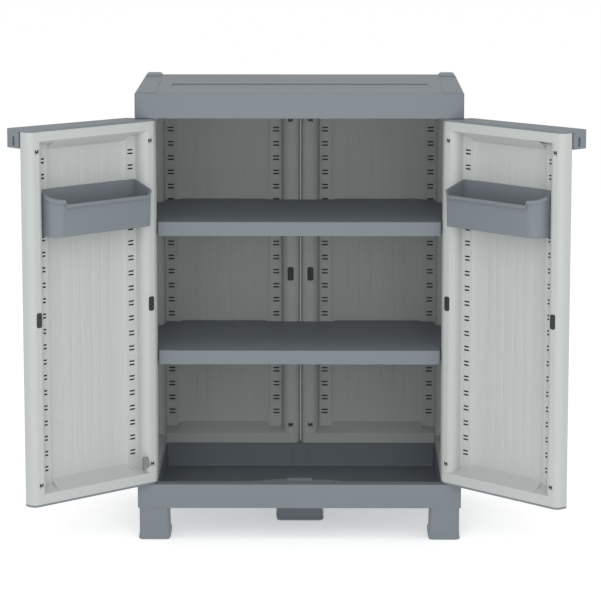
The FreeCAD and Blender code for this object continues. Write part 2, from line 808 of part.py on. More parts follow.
def lid():
    """Lid with a skirt, side pads, rear caps, a sloped recess and guides for the walls."""
    half = lid_half
    body = rounded_box(-half, half, front_y, rear_y, lid_bottom, lid_top, lid_corner_radius)
    rim = [edge for edge in body.Edges if edge.BoundBox.ZMin > lid_top - 0.01]
    body = body.makeFillet(lid_edge_radius, rim)
    pads = [lid_pad(), mirrored(lid_pad()), lid_cap(), mirrored(lid_cap())]
    for pad in pads:
        body = body.fuse(pad)
    y_rear = front_y + top_recess_rear
    y_front = front_y + top_recess_front
    points = [V(-top_recess_half_length, y_rear, lid_top - top_recess_depth),
              V(-top_recess_half_length, y_rear, lid_top + 1.0),
              V(-top_recess_half_length, y_front, lid_top + 1.0),
              V(-top_recess_half_length, y_front, lid_top),
              V(-top_recess_half_length, y_rear, lid_top - top_recess_depth)]
    wedge = Part.Face(Part.makePolygon(points)).extrude(V(2.0 * top_recess_half_length, 0, 0))
    body = body.cut(wedge)
    under = lid_top - lid_wall
    inside = rounded_box(-half + lid_wall, half - lid_wall, front_y + lid_wall, rear_y - lid_wall / 2.0,
                         lid_bottom - 1.0, under, lid_corner_radius - 1.0)
    body = body.cut(inside)
    guide_x = side_inner_x - guide_clearance
    guide_y = back_face_y - guide_clearance
    guide_z = wall_top - guide_drop
    ribs = [box(-guide_x, guide_x, guide_y - guide_rib, guide_y, guide_z, under + 1.0)]
    for side in (-1.0, 1.0):
        inner = side * guide_x
        outer = side * (half - lid_wall / 2.0)
        ribs.append(box(min(inner, inner - side * guide_rib), max(inner, inner - side * guide_rib),
                        side_front_y, guide_y, guide_z, under + 1.0))
        for i in range(seat_rib_count):
            y = side_front_y + (i + 0.5) * side_width / seat_rib_count
            ribs.append(box(min(inner, outer), max(inner, outer), y, y + guide_rib, wall_top, under + 1.0))
            x = side * (i + 0.5) * panel_width / seat_rib_count
            ribs.append(box(x, x + guide_rib, guide_y - 1.0, rear_y - lid_wall / 2.0 + 0.5, wall_top, under + 1.0))
        boss = Part.makeCylinder(pin_radius + boss_wall, under - lid_bottom + 1.0,
                                 V(side * pivot_x, pivot_y, lid_bottom))
        ribs.append(boss)
    for rib in ribs:
        body = body.fuse(rib)
    for side in (-1.0, 1.0):
        bore = Part.makeCylinder(pin_radius + pin_clearance, pin_engagement + 2.0,
                                 V(side * pivot_x, pivot_y, lid_bottom - 1.5))
        body = body.cut(bore)
    return body.removeSplitter()


# Shelves and their clips

def shelf(top):
    """Shelf with side tongues in the recesses of the sides and rear tongues in the back."""
    bottom = top - shelf_thickness
    half = side_inner_x - shelf_side_clearance
    wide = side_inner_x + recess_depth - shelf_tongue_clearance
    y0 = side_front_y - door_to_side_gap + shelf_front_gap
    y1 = back_face_y - shelf_rear_clearance
    centre_y = (side_front_y + back_face_y) / 2.0
    t0 = centre_y - shelf_tongue_half
    t1 = centre_y + shelf_tongue_half
    inner = back_centre_gap / 2.0 + column_inset + strip_width / 2.0 + shelf_rear_tongue_clearance
    outer = back_centre_gap / 2.0 + panel_width - column_inset - strip_width / 2.0 - shelf_rear_tongue_clearance
    deep = y1 + shelf_rear_tongue
    r = shelf_corner_radius
    right = [(half, y0, r), (half, t0, 0.0), (wide, t0, r), (wide, t1, r), (half, t1, 0.0), (half, y1, r),
             (outer, y1, 0.0), (outer, deep, r), (inner, deep, r), (inner, y1, 0.0)]
    left = [(-x, y, radius) for x, y, radius in reversed(right)]
    body = rounded_prism(right + left, bottom, top)
    front = [edge for edge in body.Edges
             if edge.BoundBox.YMax < y0 + 0.01 and edge.BoundBox.XLength > half]
    body = body.makeFillet(2.0, front)
    w = shelf_wall
    hollow_right = [(half - w, y0 + w, r - 1.0), (half - w, t0 + w, 0.0), (wide - w, t0 + w, 0.0),
                    (wide - w, t1 - w, 0.0), (half - w, t1 - w, 0.0), (half - w, y1 - w, r - 1.0)]
    hollow_left = [(-x, y, radius) for x, y, radius in reversed(hollow_right)]
    hollow = rounded_prism(hollow_right + hollow_left, bottom - 1.0, top - w)
    ribs = []
    for i in range(1, shelf_cells_across):
        x = -half + i * 2.0 * half / shelf_cells_across
        ribs.append(box(x - w / 2.0, x + w / 2.0, y0, y1, bottom - 2.0, top))
    for i in range(1, shelf_cells_deep):
        y = y0 + i * (y1 - y0) / shelf_cells_deep
        ribs.append(box(-wide, wide, y - w / 2.0, y + w / 2.0, bottom - 2.0, top))
    pads = []
    for x_side in (-1.0, 1.0):
        for y_side in (-1.0, 1.0):
            y_edge = centre_y + y_side * shelf_tongue_half
            y_in = y_edge - y_side * (clip_width / 2.0 + 4.0)
            x_in = x_side * (wide - clip_reach)
            pads.append(box(min(x_in, x_side * wide), max(x_in, x_side * wide),
                            min(y_edge, y_in), max(y_edge, y_in), bottom, top))
    hollow = hollow.cut(Part.makeCompound(ribs)).cut(Part.makeCompound(pads))
    return body.cut(hollow).removeSplitter()


def shelf_clip(y, row, rise):
    """Clip hooked into one pair of slots of the right side, with a ledge for the shelf."""
    floor_x = side_inner_x + recess_depth
    z1 = row_z(row) + rise - clip_seat_clearance
    z0 = row_z(row) - clip_below_row
    x1 = floor_x - clip_seat_clearance
    x0 = x1 - clip_reach
    plate = 4.0
    half = clip_width / 2.0
    y_in = -1.0 if y > (side_front_y + back_face_y) / 2.0 else 1.0
    shift = y_in * (clip_width - slot_width) / 2.0
    back = box(x1 - plate, x1, y + shift - half, y + shift + half, z0, z1)
    ledge = box(x0, x1, y + shift - half, y + shift + half, z1 - plate, z1)
    rib_points = [V(x0 + 2.0, y + shift - plate / 2.0, z1 - 1.0), V(x1 - 1.0, y + shift - plate / 2.0, z1 - 1.0),
                  V(x1 - 1.0, y + shift - plate / 2.0, z0 + 1.0), V(x0 + 2.0, y + shift - plate / 2.0, z1 - 1.0)]
    rib = Part.Face(Part.makePolygon(rib_points)).extrude(V(0, plate, 0))
    clip = back.fuse(ledge).fuse(rib)
    for side in (-1.0, 1.0):
        z = row_z(row) + side * slot_pair_gap / 2.0
        reach = slot_depth - hook_end_clearance
        clip = clip.fuse(box(x1 - 1.0, floor_x + reach,
                             y - slot_width / 2.0 + hook_side_clearance,
                             y + slot_width / 2.0 - hook_side_clearance,
                             z - slot_height / 2.0 + hook_side_clearance,
                             z + slot_height / 2.0 - hook_side_clearance))
    return clip.removeSplitter()


def shelf_clips(row, rise):
    """The four clips of one shelf."""
    clips = []
    for column in recess_column_xs(side_width):
        clip = shelf_clip(side_front_y + column, row, rise)
        clips.append(clip)
        clips.append(mirrored(clip))
    return Part.makeCompound(clips)


upper_shelf_top = row_z(upper_clip_row) + upper_clip_rise + shelf_thickness
lower_shelf_top = row_z(lower_clip_row) + lower_clip_rise + shelf_thickness
bin_bottom = upper_shelf_top + bin_shelf_gap


def build():
    """All the pieces of the cabinet, by name."""
    pieces = {}
    pieces["base_tray"] = base_tray()
    front_right = corner_foot()
    rear_right = front_right.mirror(V(0, 0, 0), V(0, 1, 0))
    pieces["foot_front_right"] = front_right
    pieces["foot_front_left"] = mirrored(front_right)
    pieces["foot_rear_right"] = rear_right
    pieces["foot_rear_left"] = mirrored(rear_right)
    pieces["foot_centre"] = centre_foot()
    right_side = side_panel()
    right_back = back_panel()
    pieces["side_panel_right"] = right_side
    pieces["side_panel_left"] = mirrored(right_side)
    pieces["back_panel_right"] = right_back
    pieces["back_panel_left"] = mirrored(right_back)
    pieces["corner_clips"] = corner_clips()
    pieces["back_square_clips"] = back_clips()
    pieces["back_oval_plugs"] = back_plugs()
    pieces["lid"] = lid()
    pieces["shelf_upper"] = shelf(upper_shelf_top)
    pieces["shelf_lower"] = shelf(lower_shelf_top)
    pieces["shelf_clips_upper"] = shelf_clips(upper_clip_row, upper_clip_rise)
    pieces["shelf_clips_lower"] = shelf_clips(lower_clip_row, lower_clip_rise)
    door_body = door_panel()
    door_pieces = {
        "door_panel": door_body,
        "door_top_rail": door_top_rail(),
        "door_bottom_strip": door_bottom_strip(),
        "door_pins": door_pins(),
        "door_square_clips": door_clips(),
        "door_oval_plugs": door_plugs(),
        "door_bin": door_bin(),
    }
    for name, shape in door_pieces.items():
        pieces[name + "_left"] = to_left_door(shape)
        pieces[name + "_right"] = to_right_door(shape)
    pieces["door_catch_left"] = to_left_door(door_catch(door_body))
    return pieces


os.makedirs("parts", exist_ok=True)
for node_name, node_shape in build().items():
    node_shape.exportStep("parts/" + node_name + ".step")
    bound = node_shape.BoundBox
    print(node_name, "solids", len(node_shape.Solids), "valid", node_shape.isValid(),
          "volume %.0f" % node_shape.Volume,
          "x %.1f %.1f y %.1f %.1f z %.1f %.1f" % (bound.XMin, bound.XMax, bound.YMin,
                                                  bound.YMax, bound.ZMin, bound.ZMax))
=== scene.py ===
import json
import math

import bmesh
import bpy
from bpy.props import FloatProperty, FloatVectorProperty, IntProperty, PointerProperty
from mathutils import Matrix, Vector


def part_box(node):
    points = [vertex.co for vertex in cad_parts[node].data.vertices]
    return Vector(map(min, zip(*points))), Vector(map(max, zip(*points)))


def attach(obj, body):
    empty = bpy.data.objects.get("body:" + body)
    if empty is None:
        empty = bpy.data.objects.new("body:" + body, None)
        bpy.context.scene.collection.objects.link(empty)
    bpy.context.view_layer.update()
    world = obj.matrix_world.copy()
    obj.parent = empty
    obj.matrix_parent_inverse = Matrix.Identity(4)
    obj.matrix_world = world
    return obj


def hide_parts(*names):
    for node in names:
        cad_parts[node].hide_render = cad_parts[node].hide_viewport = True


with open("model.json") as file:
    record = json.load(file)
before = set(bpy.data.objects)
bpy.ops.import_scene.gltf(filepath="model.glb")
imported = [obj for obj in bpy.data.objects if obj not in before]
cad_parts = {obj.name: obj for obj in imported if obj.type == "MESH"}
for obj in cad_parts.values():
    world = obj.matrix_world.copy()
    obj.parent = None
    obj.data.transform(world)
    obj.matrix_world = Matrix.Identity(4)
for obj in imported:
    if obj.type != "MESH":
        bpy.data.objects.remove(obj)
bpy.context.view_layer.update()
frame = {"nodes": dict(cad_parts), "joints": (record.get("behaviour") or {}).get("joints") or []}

bl_info = {
    "name": "Garden storage cabinet",
    "version": (1, 0, 0),
    "blender": (4, 5, 0),
    "location": "3D View > Sidebar > Cabinet",
    "description": "Moulded panels, rails, bins, shelves, lid and base of a garden storage cabinet",
    "category": "Object",
}

# What the frame says: the model's box, the fixed walls, the lid and base, and the hinges
BACK_LOW, BACK_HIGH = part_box("back_panel_right")
SIDE_LOW, SIDE_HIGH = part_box("side_panel_right")
DOOR_LOW, DOOR_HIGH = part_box("door_panel_left")
RAIL_LOW, RAIL_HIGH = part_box("door_top_rail_left")
STRIP_LOW, STRIP_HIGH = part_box("door_bottom_strip_left")
BIN_LOW, BIN_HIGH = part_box("door_bin_left")
LID_LOW, LID_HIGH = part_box("lid")
BASE_LOW, BASE_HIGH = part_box("base_tray")
HINGES = {joint["child"]: joint for joint in frame["joints"]}

# Which way is outwards along X on each side
SIDES = {"left": -1.0, "right": 1.0}

# Two points closer than this count as one
TINY = 1e-5

# How far a shape reaches into what it joins or past what it cuts, and how far past with room to spare
OVERLAP = 0.001
CUT_PAST = 0.01

# Angles, in degrees, from which an edge is shaded sharp, and from which it is rounded
SHADE_SHARP = 32.0
ROUND_SHARP = 50.0

# Rounding of the finest edges
FINE_EDGE = 0.0005


# Sizes and colours that a user would change

def length(name, default, description):
    """Property for a size in metres."""
    return FloatProperty(name=name, default=default, description=description,
                         unit="LENGTH", subtype="DISTANCE", precision=4)


def number(name, default, description):
    """Property for a number of like things."""
    return IntProperty(name=name, default=default, description=description)


def colour(name, default, description):
    """Property for a colour."""
    return FloatVectorProperty(name=name, default=default, description=description,
                               subtype="COLOR", size=3, min=0.0, max=1.0)


class PanelSizes(bpy.types.PropertyGroup):
    """Moulded section shared by the doors, the sides and the back"""
    width: length("Panel width", BACK_HIGH.x - BACK_LOW.x, "Width of a door or a back panel")
    thickness: length("Thickness", BACK_HIGH.y - BACK_LOW.y, "Thickness of the frame of a panel")
    outer_radius: length("Outer radius", 0.004, "Rounding of the upright edges outside")
    door_radius: length("Door radius", 0.008, "Rounding of the upright edges outside a door")
    inner_radius: length("Inner radius", 0.014, "Rounding of the upright edges inside, doors and back")
    side_radius: length("Side radius", 0.003, "Rounding of the upright edges of the side panels")
    frame_band: length("Frame", 0.039, "Width of the flat frame round the recess")
    recess_low: length("Recess bottom", DOOR_LOW.z + 0.021, "Height where the recess starts")
    recess_high: length("Recess top", DOOR_HIGH.z - 0.019, "Height where the recess ends")
    recess_depth: length("Recess depth", 0.027, "Depth of the recess below the frame")
    recess_slope: length("Recess slope", 0.011, "Run of the sloping lower and upper walls")
    recess_draft: length("Recess draft", 0.001, "Run of the side walls of the recess")
    rim_radius: length("Rim radius", 0.018, "Rounding of the upright rims of the recess")
    rim_relief: length("Rim relief", 0.0002, "How far the rounding starts above the frame")
    foot_radius: length("Foot radius", 0.0025, "Rounding at the foot of the recess walls")
    strip_width: length("Strip", 0.028, "Width of the strips that hold the slots")
    field_step: length("Field step", 0.0035, "Depth of the field of boards below the strips")
    field_end_slope: length("Field end slope", 0.021, "Run of the slope from the frame to the field")
    field_side_slope: length("Field side slope", 0.012, "Run of the borders beside the strips")
    field_foot: length("Field foot", 0.0015, "Depth of the gentle inner part of those borders")
    boards_inside: number("Boards inside", 7, "Upright boards in the field")
    boards_outside: number("Boards outside", 8, "Upright boards outside")
    groove_width: length("Groove width", 0.0045, "Width of the groove between two boards")
    groove_depth: length("Groove depth", 0.0011, "Depth of the groove between two boards")
    groove_wander: length("Groove wander", 0.0035, "How far a groove strays from a straight line")
    groove_steps: number("Groove steps", 26, "Steps along each groove")
    outside_step: length("Outside step", 0.001, "Depth of the field of boards outside")
    tongue_reach: length("Tongue", 0.00135, "How far a back panel reaches into the gap in the middle")


class SlotSizes(bpy.types.PropertyGroup):
    """Rows of slots for hooks"""
    column_inset: length("Column", 0.053, "Distance of a column of slots from the edge of the panel")
    row_count: number("Rows", 21, "Pairs of slots in a column")
    row_pitch: length("Pitch", 0.032, "Distance between two pairs of slots")
    first_row: length("First row", DOOR_LOW.z + 0.0662, "Height of the lowest pair of slots")
    width: length("Slot width", 0.014, "Width of a slot")
    height: length("Slot height", 0.0037, "Height of a slot")
    pair_gap: length("Pair", 0.0075, "Distance between the two slots of a pair")
    depth: length("Slot depth", 0.0035, "Depth of a slot")
    rim: length("Slot rim", 0.0003, "Small chamfer round a slot")


class DoorSizes(bpy.types.PropertyGroup):
    """Doors, their rails, ears and small fittings"""
    pivot_inset: length("Pivot inset", 0.0185, "Distance of the pivot from the hinge edge")
    pivot_depth: length("Pivot depth", 0.0125, "Distance of the pivot from the outside of the door")
    grip_start: length("Grip start", 0.0305, "Where the grip of the top rail starts")
    grip_ramp: length("Grip ramp", 0.009, "Length of the start of the grip")
    grip_hinge_width: length("Grip at hinge", 0.020, "How far the grip stands out near the hinge")
    grip_free_width: length("Grip at free end", 0.037, "How far the grip stands out at the free end")
    ear_thickness: length("Ear", 0.008, "Thickness of the padlock ear")
    ear_flange: length("Ear flange", 0.020, "Width of the flange behind the ear")
    ear_slot_width: length("Ear slot width", 0.007, "Width of the slot in the ear")
    ear_slot_height: length("Ear slot height", 0.0205, "Height of the slot in the ear")
    ear_slot_out: length("Ear slot out", 0.0170, "Distance of the slot from the outside of the door")
    ear_slot_rise: length("Ear slot rise", 0.0042, "Height of the slot above the foot of the ear")
    edge: length("Edge", 0.0008, "Rounding of the sharp edges of rails and strips")
    clip_width: length("Clip width", 0.0105, "Width of the pocket of a square clip")
    clip_height: length("Clip height", 0.009, "Height of the pocket of a square clip")
    clip_depth: length("Clip depth", 0.006, "Depth of the pocket of a square clip")
    clip_from_column: length("Clip place", 0.0325, "Distance of clips and plugs from the slots")
    clip_from_end: length("Clip height place", 0.040, "Distance of the clips from the ends of a panel")
    clip_fit: length("Clip fit", 0.0002, "Play of a clip in its pocket")
    # The dark part of a clip is painted shade in its pocket
    clip_sunk: length("Clip sunk", 0.0022, "How deep the dark part of a clip lies in its pocket")
    plug_width: length("Plug width", 0.0137, "Width of an oval plug")
    plug_height: length("Plug height", 0.0307, "Height of an oval plug")
    plug_proud: length("Plug proud", 0.001, "How far a plug stands out of the frame")
    plug_corner: length("Plug corner", 0.0042, "Rounding of the corners of a plug")
    catch_from_hinge: length("Catch place", 0.029, "Distance of the catch plate from the hinge edge")
    catch_from_bottom: length("Catch height", 0.0285, "Height of the catch plate above the panel's end")
    catch_width: length("Catch width", 0.0165, "Width of the catch plate")
    catch_height: length("Catch length", 0.0275, "Height of the catch plate")
    catch_cut: length("Catch cut", 0.0086, "How far the lower end of the catch plate slants")
    catch_lean: length("Catch lean", 0.005, "How much narrower the catch plate is at the top")
    catch_thickness: length("Catch thickness", 0.002, "Height of the catch plate above the frame")
    catch_seat: length("Catch seat", 0.005, "How deep the catch plate sits in the rounded rim")


class BinSizes(bpy.types.PropertyGroup):
    """Bins that hang inside the doors"""
    hinge_clearance: length("Hinge clearance", 0.0035, "Gap to the frame on the hinge side")
    free_clearance: length("Free clearance", 0.0015, "Gap to the frame on the free side")
    back_clearance: length("Back clearance", 0.0004, "Gap to the strips of the door")
    depth: length("Depth", 0.057, "Depth of a bin from the slots outwards")
    wall: length("Wall", 0.0023, "Thickness of the wall")
    free_radius: length("Free corner", 0.027, "Rounding of the front corner on the free side")
    hinge_radius: length("Hinge corner", 0.005, "Rounding of the front corner on the hinge side")
    foot_radius: length("Foot", 0.0025, "Rounding of the lower edges")
    edge: length("Edge", 0.0005, "Rounding of the sharp edges")
    back_step: length("Back step", 0.0025, "How far the back wall follows the field of boards")
    step_gap: length("Step gap", 0.0045, "Gap between the strip of slots and that step")
    step_run: length("Step run", 0.006, "Run of that step")
    side_drop: length("Side drop", 0.017, "How far the rim falls from the back to the front")
    notch_drop: length("Notch drop", 0.0105, "How far the rim is lowered in the front")
    notch_start: length("Notch start", 0.0550, "Where the lowered rim starts, from the hinge edge")
    notch_end: length("Notch end", 0.2670, "Where the lowered rim ends, from the hinge edge")
    notch_ramp: length("Notch ramp", 0.008, "Length of the ramps of the lowered rim")
    rim_out: length("Rim", 0.0038, "How far the rim stands out")
    rim_hinge_out: length("Rim at hinge", 0.0010, "How far the rim stands out on the hinge side")
    rim_height: length("Rim height", 0.0068, "Height of the rolled rim")
    rim_gap: length("Rim gap", 0.0015, "Gap between the rim and the frame of the door")
    taper: length("Taper", 0.0015, "How far the walls lean in towards the floor")
    hook_drop: length("Hook drop", 0.0058, "Distance of the hooks from the top of the back wall")
    hook_play: length("Hook play", 0.0005, "Play of a hook in its slot")


class LidSizes(bpy.types.PropertyGroup):
    """Lid of the cabinet"""
    wall: length("Wall", 0.0045, "Thickness of the lid")
    corner_radius: length("Corner", 0.005, "Rounding of the upright corners")
    edge_radius: length("Edge", 0.0025, "Rounding of the upper edges")
    pad_rear_inner: length("Pad inner, rear", 0.0375, "Inner edge of a side pad from the end of the lid")
    pad_inner: length("Pad inner, front", 0.045, "The same at the front, where the pad is wider")
    pad_outer: length("Pad outer", 0.004, "Outer edge of a side pad from the end of the lid")
    pad_end: length("Pad end", 0.0044, "Distance of a pad from the front and rear edges")
    pad_groove: length("Pad groove", 0.0018, "Width and depth of the groove in front of a pad")
    pad_rise: length("Pad rise", 0.0012, "Height of a pad")
    pad_corner: length("Pad corner", 0.010, "Rounding of the inner front corner of a pad")
    cap_depth: length("Cap depth", 0.078, "Length of the cap on a rear corner")
    cap_rise: length("Cap rise", 0.0055, "Height of the cap on a rear corner")
    recess_half: length("Recess half length", 0.273, "Half length of the shallow recess in the top")
    recess_rear: length("Recess rear", 0.211, "Rear edge of the recess from the front of the lid")
    recess_front: length("Recess front", 0.135, "Where the recess runs out, from the front of the lid")
    recess_depth: length("Recess depth", 0.0025, "Depth of the recess at its rear edge")


class BaseSizes(bpy.types.PropertyGroup):
    """Base tray and feet"""
    foot_height: length("Foot height", BASE_LOW.z, "Height of the feet")
    top: length("Top of the rim", DOOR_LOW.z - 0.0055, "Height of the front rim of the base")
    corner_radius: length("Corner", 0.006, "Rounding of the upright corners")
    chamfer: length("Chamfer", 0.005, "Chamfer of the lower side edges")
    edge: length("Edge", 0.0012, "Rounding of the upper edges")
    wall: length("Wall", 0.004, "Thickness of the skirt")
    lip_depth: length("Lip", 0.027, "Width of the front rim")
    lip_bulge: length("Lip bulge", 0.021, "How much wider the rim is in the middle")
    bulge_half_top: length("Bulge top", 0.052, "Half width of the wider middle")
    bulge_half_foot: length("Bulge foot", 0.102, "Half width where the rim starts to widen")
    tray_level: length("Tray floor", BASE_LOW.z + 0.003, "Height of the floor of the tray")
    tray_draft: length("Tray draft", 0.003, "How far the tray's walls lean in")
    stop_half: length("Stop", 0.0265, "Half width of the door stop")
    stop_front: length("Stop front", -0.1775, "Front face of the door stop")
    stop_depth: length("Stop depth", 0.0095, "Depth of the door stop")
    stop_height: length("Stop height", 0.0045, "Height of the door stop")
    groove_start: length("Groove start", 0.127, "Where the thin groove behind the front edge starts")
    groove_inset: length("Groove inset", 0.0035, "Distance of the groove from the front edge")
    groove_width: length("Groove width", 0.0016, "Width of the groove")
    rib_spacing: length("Rib spacing", 0.032, "Distance of the two ribs on the tray's rear wall")
    rib_width: length("Rib width", 0.007, "Width of a rib")
    rib_depth: length("Rib depth", 0.002, "How far a rib stands out")
    rib_height: length("Rib height", 0.038, "Height of a rib")
    foot_top_width: length("Foot top", 0.063, "Width of a corner foot under the base")
    foot_spread: length("Foot spread", 0.004, "How much a foot widens on each free side")
    foot_radius: length("Foot corner", 0.009, "Rounding of the upright edges of a foot")
    foot_inset: length("Foot inset", 0.001, "Distance of a foot from the edge of the base")


class ShelfSizes(bpy.types.PropertyGroup):
    """Shelves"""
    wall: length("Wall", 0.003, "Thickness of the top and the walls")
    cells_across: number("Cells across", 10, "Cells under a shelf, across")
    cells_deep: number("Cells deep", 4, "Cells under a shelf, front to back")
    edge: length("Edge", 0.0020, "Rounding of the upper edges")
    corner: length("Corner", 0.004, "Rounding of the corners in plan")


class CabinetColours(bpy.types.PropertyGroup):
    """Colours of the plastics and the studio"""
    panel: colour("Panels", (0.496, 0.520, 0.508), "Light grey of the doors, sides and back")
    body: colour("Body", (0.190, 0.215, 0.2375), "Blue grey of the lid, base, shelves, rails and bins")
    # Black: the real colour of the plugs, and painted shade on the floors and walls of the slots and on
    # the dark body of each clip
    black_and_painted_shade: colour("Fittings", (0.028, 0.030, 0.030), "Black of the clips and the bottom of the slots")
    catch: colour("Catch", (0.225, 0.235, 0.24), "Grey of the catch plate and the pins")
    floor: colour("Floor", (0.93, 0.93, 0.93), "Pale floor of the studio")


class StudioSettings(bpy.types.PropertyGroup):
    """Camera and lights of the studio"""
    camera_x: length("Camera X", 0.0413, "Place of the camera across")
    camera_y: length("Camera Y", -6.3444, "Place of the camera in front")
    camera_z: length("Camera Z", 1.5606, "Height of the camera")
    camera_pitch: FloatProperty(name="Pitch", default=math.radians(9.651), subtype="ANGLE",
                                description="How far the camera looks down")
    camera_turn: FloatProperty(name="Turn", default=math.radians(0.3626), subtype="ANGLE",
                               description="How far the camera looks to the left")
    camera_lens: FloatProperty(name="Lens", default=177.18, description="Focal length in millimetres")
    sky: FloatProperty(name="Sky", default=0.62, description="Strength of the white surroundings")
    key: FloatProperty(name="Key", default=55.0, description="Power of the soft light in front")
    top: FloatProperty(name="Top", default=18.0, description="Power of the soft light above")
    floor_glow: FloatProperty(name="Floor glow", default=0.42, description="Own light of the pale floor")


# Shared shaping tools

def bevel(bm, edges, radius, segments):
    """Rounds edges."""
    return bmesh.ops.bevel(bm, geom=list(edges), offset=radius, offset_type="OFFSET", segments=segments,
                           profile=0.5, affect="EDGES", material=-1, clamp_overlap=True)


def block(low, high):
    """New block between two corners."""
    bm = bmesh.new()
    verts = bmesh.ops.create_cube(bm, size=1.0)["verts"]
    low, high = Vector(low), Vector(high)
    bmesh.ops.scale(bm, vec=high - low, verts=verts)
    bmesh.ops.translate(bm, vec=(low + high) / 2.0, verts=verts)
    return bm


def side_block(sign, low, high):
    """New block between two corners of the right side, or of the left side if the sign is minus."""
    xs = sorted((sign * low[0], sign * high[0]))
    return block((xs[0], low[1], low[2]), (xs[1], high[1], high[2]))


def flat(item, axis, value):
    """Whether all the corners of an edge or a face lie at a value along an axis."""
    return all(abs(vert.co[axis] - value) < TINY for vert in item.verts)


def upright(edge):
    """Whether an edge runs straight up."""
    run = edge.verts[0].co - edge.verts[1].co
    return abs(run.x) < TINY and abs(run.y) < TINY


def edges_at(bm, axis, value):
    """Edges of a shape that lie at a value along an axis."""
    return [edge for edge in bm.edges if flat(edge, axis, value)]


def upright_edges(bm):
    """Edges of a shape that run straight up."""
    return [edge for edge in bm.edges if upright(edge)]


def sharp_edges(bm):
    """Edges of a shape where two faces meet at a wide angle."""
    bm.normal_update()
    limit = math.radians(ROUND_SHARP)
    return [edge for edge in bm.edges if edge.is_manifold and edge.calc_face_angle(0.0) > limit]


def within(item, low, high, axes=(0, 1, 2)):
    """Whether an edge or a face lies in a box, along some of the axes."""
    return all(low[axis] - TINY < vert.co[axis] < high[axis] + TINY
               for vert in item.verts for axis in axes)


def overlaps(face, low, high, axes):
    """Whether a face reaches into a rectangle along two axes."""
    return all(min(vert.co[axis] for vert in face.verts) < high[axis] - TINY
               and max(vert.co[axis] for vert in face.verts) > low[axis] + TINY for axis in axes)


def score(bm, faces, axis, value):
    """Cuts a straight line into faces."""
    edges = list({edge for face in faces for edge in face.edges})
    verts = list({vert for face in faces for vert in face.verts})
    point = Vector((0.0, 0.0, 0.0))
    point[axis] = value
    normal = Vector((0.0, 0.0, 0.0))
    normal[axis] = 1.0
    return bmesh.ops.bisect_plane(bm, geom=list(faces) + edges + verts, dist=TINY,
                                  plane_co=point, plane_no=normal)["geom"]


def window(bm, axis, value, low, high):
    """Outlines a rectangle in the flat faces at a value along an axis, and gives back its faces."""
    axes = [other for other in range(3) if other != axis]
    for line_axis in axes:
        for line in (low[line_axis], high[line_axis]):
            faces = [face for face in bm.faces
                     if flat(face, axis, value) and overlaps(face, low, high, axes)]
            score(bm, faces, line_axis, line)
    return [face for face in bm.faces if flat(face, axis, value) and within(face, low, high, axes)]


def sink(bm, faces, shift, shrink):
    """Pushes a region by a shift and makes its far end smaller by shrink on every side."""
    region = bmesh.ops.extrude_face_region(bm, geom=faces)["geom"]
    verts = [item for item in region if isinstance(item, bmesh.types.BMVert)]
    low = Vector([min(vert.co[axis] for vert in verts) for axis in range(3)])
    high = Vector([max(vert.co[axis] for vert in verts) for axis in range(3)])
    middle = (low + high) / 2.0
    size = high - low
    scale = [1.0 - 2.0 * shrink[axis] / size[axis] if size[axis] > TINY else 1.0 for axis in range(3)]
    bmesh.ops.scale(bm, vec=scale, space=Matrix.Translation(-middle), verts=verts)
    bmesh.ops.translate(bm, vec=shift, verts=verts)
    bmesh.ops.delete(bm, geom=faces, context="FACES")
    return [item for item in region if isinstance(item, bmesh.types.BMFace)]


def plan(corners, z):
    """New flat face through corners (x, y, radius), with each corner rounded."""
    bm = bmesh.new()
    verts = [bm.verts.new((x, y, z)) for x, y, _ in corners]
    bm.faces.new(verts)
    count = len(corners)
    for i, (x, y, radius) in enumerate(corners):
        if radius <= 0.0:
            continue
        before = Vector(corners[i - 1][:2]) - Vector((x, y))
        after = Vector(corners[(i + 1) % count][:2]) - Vector((x, y))
        tangent = radius / math.tan(before.angle(after) / 2.0)
        bmesh.ops.bevel(bm, geom=[verts[i]], offset=tangent, offset_type="OFFSET", segments=6,
                        profile=0.5, affect="VERTICES", material=-1)
    return bm


def prism(corners, z0, z1):
    """New upright solid on a plan with rounded corners."""
    bm = plan(corners, z0)
    region = bmesh.ops.extrude_face_region(bm, geom=list(bm.faces))["geom"]
    verts = [item for item in region if isinstance(item, bmesh.types.BMVert)]
    bmesh.ops.translate(bm, vec=(0.0, 0.0, z1 - z0), verts=verts)
    bmesh.ops.recalc_face_normals(bm, faces=bm.faces)
    return bm


def bar(corners, x0, x1):
    """New solid along X on a section with corners (y, z, radius)."""
    turn = Matrix(((0.0, 0.0, 1.0), (1.0, 0.0, 0.0), (0.0, 1.0, 0.0))).to_4x4()
    return place(prism(corners, x0, x1), turn)


def holder_of(bm):
    """Temporary object that holds a shape."""
    mesh = bpy.data.meshes.new("shape")
    bm.to_mesh(mesh)
    bm.free()
    holder = bpy.data.objects.new("shape", mesh)
    bpy.context.scene.collection.objects.link(holder)
    return holder


def combine(bm, tool, operation):
    """Joins, cuts or trims a closed shape with another one, and gives back the result."""
    base = holder_of(bm)
    cutter = holder_of(tool)
    modifier = base.modifiers.new("combine", "BOOLEAN")
    modifier.operation = operation
    modifier.solver = "EXACT"
    modifier.object = cutter
    bpy.context.view_layer.update()
    evaluated = base.evaluated_get(bpy.context.evaluated_depsgraph_get())
    result = bmesh.new()
    result.from_mesh(evaluated.to_mesh())
    evaluated.to_mesh_clear()
    for holder in (base, cutter):
        mesh = holder.data
        bpy.data.objects.remove(holder)
        bpy.data.meshes.remove(mesh)
    return result


def add(bm, other):
    """Adds a separate shape to another."""
    mesh = bpy.data.meshes.new("shape")
    other.to_mesh(mesh)
    other.free()
    bm.from_mesh(mesh)
    bpy.data.meshes.remove(mesh)
    return bm


def place(bm, matrix):
    """Moves a shape by a matrix, and keeps its faces outwards."""
    bmesh.ops.transform(bm, matrix=matrix, verts=bm.verts)
    if matrix.determinant() < 0.0:
        bmesh.ops.reverse_faces(bm, faces=bm.faces)
    return bm


